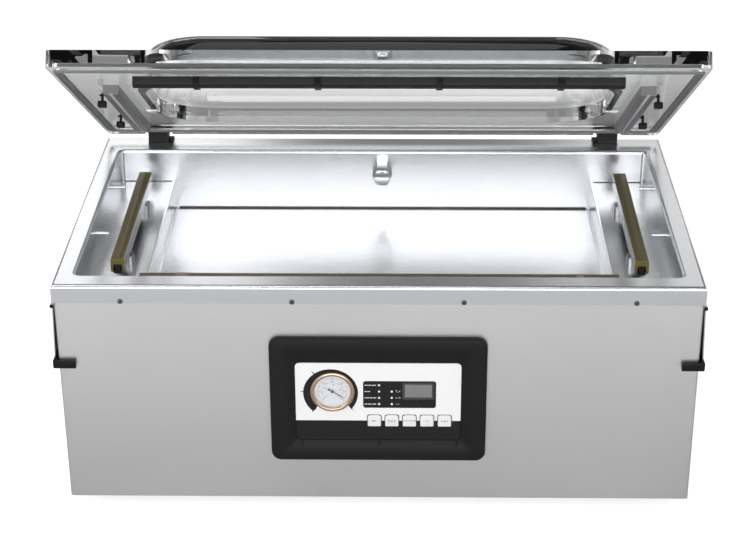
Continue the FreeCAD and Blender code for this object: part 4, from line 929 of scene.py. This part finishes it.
nozzle_profile = [(0.0011, 0.006), (0.0011, 0.0), (0.0016, -0.0001), (0.002, 0.0004), (0.002, 0.0160),
                  (0.0034, 0.0163), (0.0034, 0.0174), (0.002, 0.0176), (0.002, 0.0250), (0.0011, 0.0250)]
nozzles = bmesh.new()
nozzle_low, nozzle_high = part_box("gas_nozzles")
nozzle_level = (nozzle_low.z + nozzle_high.z) / 2
nozzle_start = 0.3275 - 0.0175
for side in (-1, 1):
    for along in (-0.052, 0.079):
        add_turned(nozzles, nozzle_profile, (side * nozzle_start, along, nozzle_level), (side, 0, 0),
                   steps=28, loop=True)
finished(
    "gas_nozzles_turned", nozzles, polished_steel, "cabinet", "fitting_steel", stands_for=["gas_nozzles"])


# ------------------------------------------------------------------ drop handles
# A folded stainless flap hangs on a wire rod under each side of the deck. Its lower edge is held in
# a black moulded grip that wraps round the front corner.

for side in ("left", "right"):
    faired("handle_frame_" + side, leaf_satin)
    low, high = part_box("handle_grip_" + side)
    sign = -1 if side == "left" else 1
    lip_y = tank_low.y - 0.0006
    outer_x = sign * max(abs(low.x), abs(high.x))
    inner_x = sign * min(abs(low.x), abs(high.x))
    rail_x = outer_x - sign * 0.0044
    grip = bmesh.new()
    add_box(
        grip, (min(outer_x, rail_x), lip_y - 0.0010, low.z), (max(outer_x, rail_x), high.y, high.z),
        0.0012)
    add_box(grip, (min(outer_x, inner_x), low.y, low.z), (max(outer_x, inner_x), lip_y, high.z), 0.0011)
    for number in range(26):
        place = -0.150 + number * 0.012
        add_box(grip, (min(outer_x, outer_x + sign * 0.0006), place, low.z + 0.0018),
                (max(outer_x, outer_x + sign * 0.0006), place + 0.005, high.z - 0.0018), 0.0003, 1)
    finished("handle_grip_%s_moulded" % side, grip, nylon_black, "handle_" + side, "clip_black",
             stands_for=["handle_grip_" + side])
faired("handle_rods", polished_steel)
caps = bmesh.new()
rod_low, rod_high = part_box("handle_rods")
for side in (-1, 1):
    for way in (-1, 1):
        add_turned(caps, [(0.0022, 0.0), (0.0022, 0.0010), (0.0014, 0.0017), (0.0, 0.0018)],
                   (side * 0.3502, way * rod_high.y, (rod_low.z + rod_high.z) / 2), (0, way, 0), steps=24)
finished("rod_caps", caps, nylon_black, "cabinet", "fitting_steel")


# ------------------------------------------------------------------ control panel frame
# A black moulded frame on the casing, with a fine grain. It dishes in to the printed label, and
# three small ribs stand in the dish above and below.

panel_black = worked_finish(
    "panel_black", (0.010, 0.010, 0.0105), (0.007, 0.007, 0.0075), 0.0, 0.55, spread=0.06, patches=12.0,
    grain=1500.0, relief=0.5, Specular_IOR_Level=0.22)
bezel_low, bezel_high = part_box("control_bezel")
label_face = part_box("label_plate")[0].y


def moulded_outline(half_width, low, high, radius, top_radius=None, steps=8, middle=0.0):
    """Rounded rectangle as (across, height), with its own radius for the upper corners."""
    upper = radius if top_radius is None else top_radius
    points = []
    for across, height, reach, start in ((1, low, radius, -90), (1, high, upper, 0),
                                         (-1, high, upper, 90), (-1, low, radius, 180)):
        centre_x = across * (half_width - reach)
        centre_z = height + (reach if height == low else -reach)
        for place in range(steps + 1):
            turn = math.radians(start + 90 * place / steps)
            points.append((middle + centre_x + reach * math.cos(turn), centre_z + reach * math.sin(turn)))
    return points


def plate_rings(rings, middle=0.0):
    """Rings of a moulding seen from the front, from (half width, low, high, radius, place in Y)."""
    return [[(x, place, z) for x, z in moulded_outline(half, low, high, radius, middle=middle)]
            for half, low, high, radius, place in rings]


frame_half = bezel_high.x
front = bezel_low.y
panel = bmesh.new()
add_loft(panel, plate_rings([
    (frame_half, bezel_low.z, bezel_high.z, 0.0110, -0.2070),
    (frame_half, bezel_low.z, bezel_high.z, 0.0110, front + 0.0021),
    (frame_half - 0.0006, bezel_low.z + 0.0006, bezel_high.z - 0.0006, 0.0104, front + 0.0008),
    (frame_half - 0.0022, bezel_low.z + 0.0022, bezel_high.z - 0.0022, 0.0090, front),
    (0.0974, 0.0826, 0.1984, 0.0062, front), (0.0968, 0.0832, 0.1978, 0.0058, front + 0.0005),
    (0.0912, 0.0902, 0.1881, 0.0056, label_face - 0.0001),
    (0.0907, 0.0907, 0.1876, 0.0052, label_face + 0.0012),
    (0.0880, 0.0934, 0.1849, 0.0040, label_face + 0.0012), (0.0880, 0.0934, 0.1849, 0.0040, bezel_high.y),
    (0.0980, 0.0842, 0.1941, 0.0040, bezel_high.y),
    (0.0980, 0.0842, 0.1941, 0.0040, -0.2070)]), loop=True)
finished("panel_frame", panel, panel_black, "cabinet", "panel_black", sharp=40, stands_for=["control_bezel"])
ribs = bmesh.new()
for across in (-0.0840, 0.0008, 0.0865):
    add_box(
        ribs, (across - 0.0007, front + 0.0002, 0.1890), (across + 0.0007, label_face - 0.0002, 0.1972),
        0.0003, 2)
    add_box(
        ribs, (across - 0.0007, front + 0.0002, 0.0838), (across + 0.0007, label_face - 0.0002, 0.0895),
        0.0003, 2)
finished("panel_ribs", ribs, panel_black, "cabinet", "panel_black")


# ------------------------------------------------------------------ printed label
# One film, printed white above and black below, with a black block behind the display and a black
# crescent round the gauge. The crescent is open at the bottom and carries four short pointers.

gauge_middle = Vector(joints["needle_turn"]["pos_m"])
gauge_middle.y = 0
label_print = plain_finish("label_print", (0.86, 0.86, 0.86), 0.0, 0.30, Specular_IOR_Level=0.2)
print_tree = label_print.node_tree
print_split = print_tree.nodes.new("ShaderNodeSeparateXYZ")
wire(print_tree, print_tree.nodes.new("ShaderNodeTexCoord").outputs["Object"], print_split.inputs[0])
across_label = print_split.outputs["X"]
up_label = print_split.outputs["Z"]


def inside_block(tree, middle_x, middle_z, half_x, half_z, radius):
    """One inside a rounded rectangle on the label, nought outside it."""
    far_x = sum_step(
        tree, "SUBTRACT", sum_step(tree, "ABSOLUTE", sum_step(tree, "SUBTRACT", across_label, middle_x)),
        half_x - radius)
    far_z = sum_step(
        tree, "SUBTRACT", sum_step(tree, "ABSOLUTE", sum_step(tree, "SUBTRACT", up_label, middle_z)),
        half_z - radius)
    out_x = sum_step(tree, "MAXIMUM", far_x, 0.0)
    out_z = sum_step(tree, "MAXIMUM", far_z, 0.0)
    reach = sum_step(tree, "SQRT", sum_step(tree, "ADD", sum_step(tree, "MULTIPLY", out_x, out_x),
                                            sum_step(tree, "MULTIPLY", out_z, out_z)))
    return sum_step(tree, "LESS_THAN", reach, radius)


def inside_crescent(tree):
    """One inside the black crescent round the gauge, which is widest at its lower left."""
    off_x = sum_step(tree, "SUBTRACT", across_label, gauge_middle.x - 0.002)
    off_z = sum_step(tree, "SUBTRACT", up_label, gauge_middle.z - 0.0022)
    reach = sum_step(tree, "SQRT", sum_step(tree, "ADD", sum_step(tree, "MULTIPLY", off_x, off_x),
                                            sum_step(tree, "MULTIPLY", off_z, off_z)))
    angle = sum_step(tree, "ARCTAN2", sum_step(tree, "SUBTRACT", up_label, gauge_middle.z),
                     sum_step(tree, "SUBTRACT", across_label, gauge_middle.x))
    past_left = sum_step(tree, "LESS_THAN", angle, math.radians(-131))
    past_right = sum_step(tree, "GREATER_THAN", angle, math.radians(-46))
    around = sum_step(tree, "MAXIMUM", past_left, past_right)
    return sum_step(tree, "MULTIPLY", around, sum_step(tree, "LESS_THAN", reach, 0.0300))


print_mask = sum_step(print_tree, "LESS_THAN", up_label, 0.1152)
for region in (inside_block(print_tree, 0.0234, 0.1483, 0.0399, 0.0169, 0.003), inside_crescent(print_tree)):
    print_mask = sum_step(print_tree, "MAXIMUM", print_mask, region)
film = noise_step(print_tree, print_tree.nodes["Texture Coordinate"].outputs["Object"], 160.0)
white_film = blend_step(print_tree, film, (0.87, 0.87, 0.87), (0.92, 0.92, 0.92))
black_film = blend_step(print_tree, film, (0.012, 0.012, 0.013), (0.022, 0.020, 0.021))
wire(print_tree, blend_step(print_tree, print_mask, white_film, black_film),
     print_tree.nodes["Principled BSDF"].inputs["Base Color"])
wire(print_tree, sum_step(print_tree, "MULTIPLY_ADD", film, 0.08, 0.26),
     print_tree.nodes["Principled BSDF"].inputs["Roughness"])
coated(label_print, "label_plate")

ink_white = worked_finish("ink_white", (0.75, 0.75, 0.73), (0.65, 0.65, 0.63), 0.0, 0.5, relief=0.02)
ink_black = worked_finish("ink_black", (0.01, 0.01, 0.01), (0.007, 0.007, 0.007), 0.0, 0.6, relief=0.02,
                          Specular_IOR_Level=0.2)
# Grey ink for the key pictograms; the same grey makes the painted shade round each key.
grey_ink_and_gap_shade = worked_finish("grey_ink_and_gap_shade", (0.045, 0.045, 0.045), (0.03, 0.03, 0.03), 0.0, 0.5, relief=0.02)


def add_mark(bm, left, low, right, high, face, height=0.00006):
    """A thin printed mark standing on a face that looks to the front."""
    add_box(bm, (left, face - height, low), (right, face + 0.00002, high))


lamp_levels = [0.1599, 0.1520, 0.1441, 0.1362]
marks = bmesh.new()
for level, runs in zip(lamp_levels, (
    ((0, 3.4), (4.0, 7.2), (7.9, 12.6)), ((0, 2.4), (3.0, 6.0)), ((0, 5.0), (5.6, 8.4), (9.1, 12.6)),
    ((0, 2.8), (3.5, 7.9), (8.6, 12.6)))):
    for start, stop in runs:
        add_mark(
            marks, -0.0149 + start / 1000, level - 0.0005, -0.0149 + stop / 1000, level + 0.0005,
            label_face)
for level, runs in zip(lamp_levels[1:], (
    ((0, 0.6, 1.2), (1.4, -0.9, 0.6), (3.6, -0.2, 1.2)),
    ((0, -0.4, 1.1), (2.2, -0.4, 0.5), (3.9, -0.4, 1.1)), ((0.4, -0.3, 0.6), (2.4, -0.3, 0.6)))):
    for start, drop, tall in runs:
        add_mark(
            marks, 0.0193 + start / 1000, level + drop / 1000, 0.0193 + (start + 1.1) / 1000,
            level + (drop + tall) / 1000, label_face)
finished("label_marks", marks, ink_white, "cabinet", "label_print")
pointers = bmesh.new()
for angle, reach in ((132, 0.0335), (180, 0.0348), (-131, 0.0342), (-46, 0.0318)):
    way = Vector((math.cos(math.radians(angle)), 0, math.sin(math.radians(angle))))
    side = Vector((-way.z, 0, way.x)) * 0.0007
    base = Vector((gauge_middle.x, label_face + 0.00002, gauge_middle.z))
    root = base + way * 0.0275
    tip = base + way * reach
    wedge = [root + side, root - side, tip - side * 0.6, tip + side * 0.6]
    add_loft(pointers, [wedge, [point + Vector((0, -0.00007, 0)) for point in wedge]])
finished("gauge_pointers", pointers, ink_black, "cabinet", "label_print")


# ------------------------------------------------------------------ display and lamps
# A grey liquid-crystal window in a bevelled dark frame, and seven small clear lamps with domed tops.

frame_dark = worked_finish(
    "frame_dark", (0.060, 0.055, 0.048), (0.045, 0.041, 0.036), 0.1, 0.32, grain=900.0)
screen_grey = worked_finish(
    "screen_grey", (0.215, 0.22, 0.225), (0.185, 0.19, 0.195), 0.0, 0.18, patches=60.0, relief=0.01,
    Coat_Weight=0.6)
window_low, window_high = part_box("display_window")
window_middle = (window_low.x + window_high.x) / 2
window_half = (window_high.x - window_low.x) / 2
window_steps = [(0, 0.0022, 0.0030), (0, 0.0022, 0.0004), (0.0004, 0.0018, 0.0), (0.0018, 0.0012, 0.0),
                (0.0027, 0.0006, 0.0006), (0.0027, 0.0006, 0.0030)]
screen_steps = [(0.0026, 0.0006, 0.0028), (0.0026, 0.0006, 0.0007)]


def window_rings(steps):
    """Rings round the display window, from (inset, corner radius, depth) steps."""
    return plate_rings([
        (window_half - inset, window_low.z + inset, window_high.z - inset, radius, window_low.y + depth)
        for inset, radius, depth in steps], middle=window_middle)


window = bmesh.new()
add_loft(window, window_rings(window_steps), loop=True)
finished("display_frame", window, frame_dark, "cabinet", "display_glass", stands_for=["display_window"])
screen = bmesh.new()
add_loft(screen, window_rings(screen_steps))
finished("display_screen", screen, screen_grey, "cabinet", "display_glass")

lamp_clear = worked_finish(
    "lamp_clear", (0.88, 0.84, 0.76), (0.78, 0.74, 0.66), 0.0, 0.15, patches=300.0, relief=0.02,
    Emission_Strength=0.15, Emission_Color=(1.0, 0.95, 0.85, 1))
lamps = bmesh.new()
lamp_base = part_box("indicator_leds")[1].y
for across, levels in ((0.0010, lamp_levels), (0.0149, lamp_levels[1:])):
    for level in levels:
        add_turned(lamps, [
            (0.0, 0.0), (0.0012, 0.0), (0.0012, 0.0062), (0.0009, 0.0066), (0.0005, 0.0068),
            (0.0, 0.0069)], (across, lamp_base, level), (0, -1, 0), steps=20)
finished("indicator_lamps", lamps, lamp_clear, "cabinet", "lamp", stands_for=["indicator_leds"])


# ------------------------------------------------------------------ keys
# Five white caps, square below and rounded above, each in a grey ring of painted shade for the gap
# round it, with a plain pictogram on its face. Each cap moves straight in on its own.

key_white = worked_finish(
    "key_white", (0.86, 0.86, 0.86), (0.82, 0.82, 0.82), 0.0, 0.34, grain=900.0, relief=0.05)
pictograms = [
    [(-2.4, -0.7, -1.0, 0.7), (-0.4, -0.7, 0.4, 0.7), (1.0, -0.2, 2.4, 0.2), (1.5, -0.7, 1.9, 0.7)],
    [
        (-3.8, 0.9, -2.0, 1.3), (-3.8, -1.5, -3.4, 1.3), (-3.8, -1.5, -2.0, -1.1), (2.0, 0.9, 3.8, 1.3),
        (3.4, -1.5, 3.8, 1.3), (2.0, -1.5, 3.8, -1.1), (-1.2, -0.9, 1.2, -0.5), (-1.2, 0.4, 1.2, 0.8),
        (-1.2, -0.9, -0.8, 0.8), (0.8, -0.9, 1.2, 0.8)],
    [(-6.9, 0.1, 6.9, 0.6)],
    [(-2.2, -0.5, -1.2, -0.1), (-1.3, -0.1, 0.4, 0.3), (0.3, 0.2, 2.2, 0.6), (1.8, -0.3, 2.2, 0.3)],
    [
        (-3.6, -1.0, -3.2, 1.0), (-2.6, -0.3, -1.2, 0.3), (-0.5, -1.0, 0.3, 1.0), (1.2, -0.3, 2.6, 0.3),
    (3.2, -1.0, 3.6, 1.0)],]
cap_steps = [(0, 0.0036), (0, 0.0007), (0.0003, 0.0002), (0.0009, 0.0)]
gap_shade_steps = [(0.0003, 0.00002), (0.0008, 0.00002), (0.0008, -0.00006), (0.0003, -0.00006)]
gap_shade_rings = bmesh.new()
for number, strokes in enumerate(pictograms, start=1):
    low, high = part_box("key_%d" % number)
    middle = (low.x + high.x) / 2
    centre = (low.z + high.z) / 2
    half = (high.x - low.x) / 2

    def key_ring(grow, lower_radius, upper_radius, place):
        """A ring round the key, wider than it by grow, at a place in Y."""
        return [(x, place, z) for x, z in moulded_outline(
            half + grow, low.z - grow, high.z + grow, lower_radius, upper_radius, middle=middle)]

    cap = bmesh.new()
    add_loft(cap, [key_ring(-inset, 0.0012, max(0.0032 - inset, 0.001), low.y + depth)
                   for inset, depth in cap_steps])
    add_turned(cap, [(0.002, 0.0), (0.002, 0.0028), (0.0, 0.0028)], (middle, low.y + 0.0034, centre),
               (0, 1, 0), steps=20)
    body = "key_%d" % number
    finished("key_cap_%d" % number, cap, key_white, body, "key_white", stands_for=[body])
    picture = bmesh.new()
    for left, bottom, right, top in strokes:
        add_mark(picture, middle + left / 1000, centre + bottom / 1000, middle + right / 1000,
                 centre + top / 1000, low.y)
    finished("key_picture_%d" % number, picture, grey_ink_and_gap_shade, body, "key_white")
    # A grey ring on the label round each cap: painted shade for the gap round the key.
    add_loft(gap_shade_rings, [key_ring(grow, 0.0014, 0.0036, label_face + depth) for grow, depth in gap_shade_steps],
             loop=True)
finished("key_outlines", gap_shade_rings, grey_ink_and_gap_shade, "cabinet", "label_print")


# ------------------------------------------------------------------ vacuum gauge
# A 50 mm gauge: a rolled satin brass rim, a flat glass, and a white dial with a red outer and a
# black inner scale. The needle is black with a broad red-brown tail.

brass_rim = worked_finish(
    "brass_rim", (0.66, 0.50, 0.33), (0.56, 0.41, 0.26), 1.0, 0.30, patches=40.0, grain=700.0)
rim = bmesh.new()
rim_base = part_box("gauge_bezel")[1].y
add_turned(rim, [
    (0.0245, 0.0), (0.0245, 0.0046), (0.0241, 0.0060), (0.0231, 0.0068), (0.0219, 0.0070),
    (0.0208, 0.0067), (0.0200, 0.0059), (0.0197, 0.0050), (0.0214, 0.0047), (0.0219, 0.0047),
    (0.0220, 0.0)], (gauge_middle.x, rim_base, gauge_middle.z), (0, -1, 0), steps=72, loop=True)
finished("gauge_rim", rim, brass_rim, "cabinet", "gauge_brass", stands_for=["gauge_bezel"])
coated(panel_black, "gauge_case")

dial_white = worked_finish(
    "dial_white", (0.80, 0.82, 0.86), (0.74, 0.77, 0.82), 0.0, 0.45, patches=90.0, relief=0.02)
coated(dial_white, "gauge_dial")
dial_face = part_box("gauge_dial")[0].y
ink_red = worked_finish("ink_red", (0.45, 0.05, 0.04), (0.36, 0.04, 0.03), 0.0, 0.5, relief=0.02)


def scale_tree(name, material):
    """Short marks spread evenly round an arc on a dial that looks to the front."""
    tree, given, end = geometry_tree(name, [
        ("Count", "Int", 11), ("Start", "Float", 0.0), ("Sweep", "Float", 1.0), ("Reach", "Float", 0.01),
        ("Length", "Float", 0.001), ("Width", "Float", 0.0002)])
    dots = step(tree, "GeometryNodePoints", {"Count": given["Count"]})
    index = step(tree, "GeometryNodeInputIndex", {}).outputs[0]
    share = sum_step(tree, "DIVIDE", index, sum_step(tree, "SUBTRACT", given["Count"], 1.0))
    angle = sum_step(tree, "MULTIPLY_ADD", share, given["Sweep"], given["Start"])
    spot = step(tree, "ShaderNodeCombineXYZ", {
        "X": sum_step(tree, "MULTIPLY", sum_step(tree, "SINE", angle), given["Reach"]),
        "Z": sum_step(tree, "MULTIPLY", sum_step(tree, "COSINE", angle), given["Reach"])})
    spread = step(
        tree, "GeometryNodeSetPosition", {"Geometry": dots.outputs[0], "Position": spot.outputs[0]})
    mark_size = step(tree, "ShaderNodeCombineXYZ", {"X": given["Width"], "Y": 0.00008, "Z": given["Length"]})
    mark = step(tree, "GeometryNodeMeshCube", {"Size": mark_size.outputs[0]})
    way = step(tree, "ShaderNodeCombineXYZ", {"Y": angle})
    turn = step(tree, "FunctionNodeEulerToRotation", {"Euler": way.outputs[0]})
    marks_round = step(
        tree, "GeometryNodeInstanceOnPoints",
        {"Points": spread.outputs[0], "Instance": mark.outputs["Mesh"], "Rotation": turn.outputs[0]})
    centred = step(
        tree, "GeometryNodeInstanceOnPoints",
        {"Points": given["Geometry"], "Instance": marks_round.outputs[0]})
    close_tree(tree, centred.outputs[0], material, end)
    return tree


dial_spot = [(gauge_middle.x, dial_face, gauge_middle.z)]
sweep_start = math.radians(-135)
sweep = math.radians(270)
black_scale = scale_tree("black_scale", ink_black)
red_scale = scale_tree("red_scale", ink_red)
for name, tree, count, reach, length, width in (
    ("dial_red_fine", red_scale, 61, 0.0160, 0.0012, 0.00022),
    ("dial_red_bold", red_scale, 13, 0.0158, 0.0020, 0.00050),
    ("dial_black_fine", black_scale, 39, 0.0112, 0.0010, 0.00020),
    ("dial_black_bold", black_scale, 9, 0.0110, 0.0016, 0.00045)):
    grown(name, tree, dial_spot, {
        "Count": count, "Start": sweep_start, "Sweep": sweep, "Reach": reach, "Length": length,
        "Width": width}, "cabinet")


def numeral(text, angle, reach, height, material, name):
    """A number on the dial, made a mesh and laid on its face."""
    letters = bpy.data.curves.new(name, "FONT")
    letters.body = text
    letters.size = height
    letters.align_x = "CENTER"
    letters.align_y = "CENTER"
    letters.extrude = 0.00004
    holder = linked(name + "_text", letters)
    mesh = bpy.data.meshes.new_from_object(holder.evaluated_get(bpy.context.evaluated_depsgraph_get()))
    bpy.data.objects.remove(holder)
    spot = Vector((
        gauge_middle.x + reach * math.sin(angle), dial_face, gauge_middle.z + reach * math.cos(angle)))
    mesh.transform(Matrix.Translation(spot) @ Matrix.Rotation(math.radians(90), 4, "X"))
    bm = bmesh.new()
    bm.from_mesh(mesh)
    finished(name, bm, material, "cabinet", "gauge_dial")


for place, text in enumerate(("0", "5", "10", "15", "20", "25", "30")):
    numeral(text, sweep_start + sweep * place / 6, 0.0132, 0.0032, ink_red, "red_number_" + text)
for place, text in enumerate(("0", "20", "40", "60", "76")):
    numeral(
        text, sweep_start + sweep * min(place * 20, 76) / 76, 0.0084, 0.0026, ink_black,
        "black_number_" + text)

needle_black = worked_finish("needle_black", (0.02, 0.02, 0.02), (0.012, 0.012, 0.012), 0.0, 0.35)
tail_red = worked_finish("tail_red", (0.20, 0.045, 0.03), (0.15, 0.03, 0.02), 0.0, 0.4)
pointing = Vector((math.cos(math.radians(32)), 0, -math.sin(math.radians(32))))
sideways = Vector((pointing.z, 0, -pointing.x))
needle_face = label_face - 0.0005


def add_blade(bm, corners):
    """A thin flat blade from (along, sideways) corners about the gauge's middle."""
    middle = Vector((gauge_middle.x, needle_face, gauge_middle.z))
    flat = [middle + pointing * reach + sideways * aside for reach, aside in corners]
    add_loft(bm, [flat, [point + Vector((0, 0.0004, 0)) for point in flat]])


blade = bmesh.new()
add_blade(blade, [
    (-0.0010, -0.0006), (0.0100, -0.0004), (0.0155, -0.00012), (0.0155, 0.00012), (0.0100, 0.0004),
    (-0.0010, 0.0006)])
add_turned(blade, [
    (0.0008, -0.0046), (0.0008, -0.0001), (0.0018, -0.0001), (0.0018, 0.0004), (0.0012, 0.0009),
    (0.0, 0.0010)], (gauge_middle.x, needle_face + 0.0002, gauge_middle.z), (0, -1, 0), steps=24)
finished("needle_blade", blade, needle_black, "needle", "needle_black", stands_for=["gauge_needle"])
tail = bmesh.new()
add_blade(tail, [
    (-0.0060, -0.0015), (-0.0056, -0.0003), (-0.0061, 0.0013), (-0.0036, 0.0012), (-0.0022, 0.0006),
    (-0.0008, 0.0006), (-0.0008, -0.0006), (-0.0022, -0.0006), (-0.0036, -0.0013)])
finished("needle_tail", tail, tail_red, "needle", "needle_black")

gauge_glass = plain_finish("gauge_glass", (0.9, 0.93, 0.95), 0.0, 0.03, Alpha=0.10)
glass_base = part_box("gauge_glass")[1].y
glass = bmesh.new()
add_turned(glass, [(0.0, 0.0), (0.0214, 0.0), (0.0214, 0.0008), (0.0140, 0.00095), (0.0, 0.0010)],
           (gauge_middle.x, glass_base, gauge_middle.z), (0, -1, 0), steps=64)
finished("gauge_window", glass, gauge_glass, "cabinet", "clear_glass", stands_for=["gauge_glass"])


# ------------------------------------------------------------------ back and machinery
# Mains inlet and switch in black moulding, the board behind the panel, and the pump, motor,
# transformer, valves and hoses on the tray, in painted castings, plated steel and rubber.

for node in ("power_inlet", "power_rocker"):
    faired(node, panel_black)
grown("inlet_screws", dark_screws, [(0.2400, 0.2095, 0.0800), (0.2800, 0.2095, 0.0800)],
      {"Head Radius": 0.0026, "Head Height": 0.0012}, "cabinet", facing=[(0, 1, 0)] * 2)
board_green = worked_finish("board_green", (0.03, 0.17, 0.08), (0.02, 0.12, 0.06), 0.0, 0.4, patches=80.0)
coated(board_green, "control_board")
casting_grey = worked_finish(
    "casting_grey", (0.24, 0.26, 0.28), (0.18, 0.20, 0.22), 0.1, 0.5, grain=350.0, relief=0.6)
motor_paint = worked_finish(
    "motor_paint", (0.12, 0.16, 0.22), (0.09, 0.12, 0.17), 0.1, 0.4, grain=500.0, relief=0.4)
hose_rubber = worked_finish("hose_rubber", (0.03, 0.03, 0.03), (0.02, 0.02, 0.02), 0.0, 0.55, grain=600.0)
shaft_steel = worked_finish("shaft_steel", (0.55, 0.55, 0.56), (0.42, 0.42, 0.43), 1.0, 0.28, patches=50.0)
for node, paint in (
    ("pump_body", casting_grey), ("pump_motor", motor_paint), ("transformer", casting_grey),
    ("valve_block", aluminium_turned), ("vacuum_hose", hose_rubber), ("pump_hose", hose_rubber),
    ("motor_fan", shaft_steel)):
    faired(node, paint)
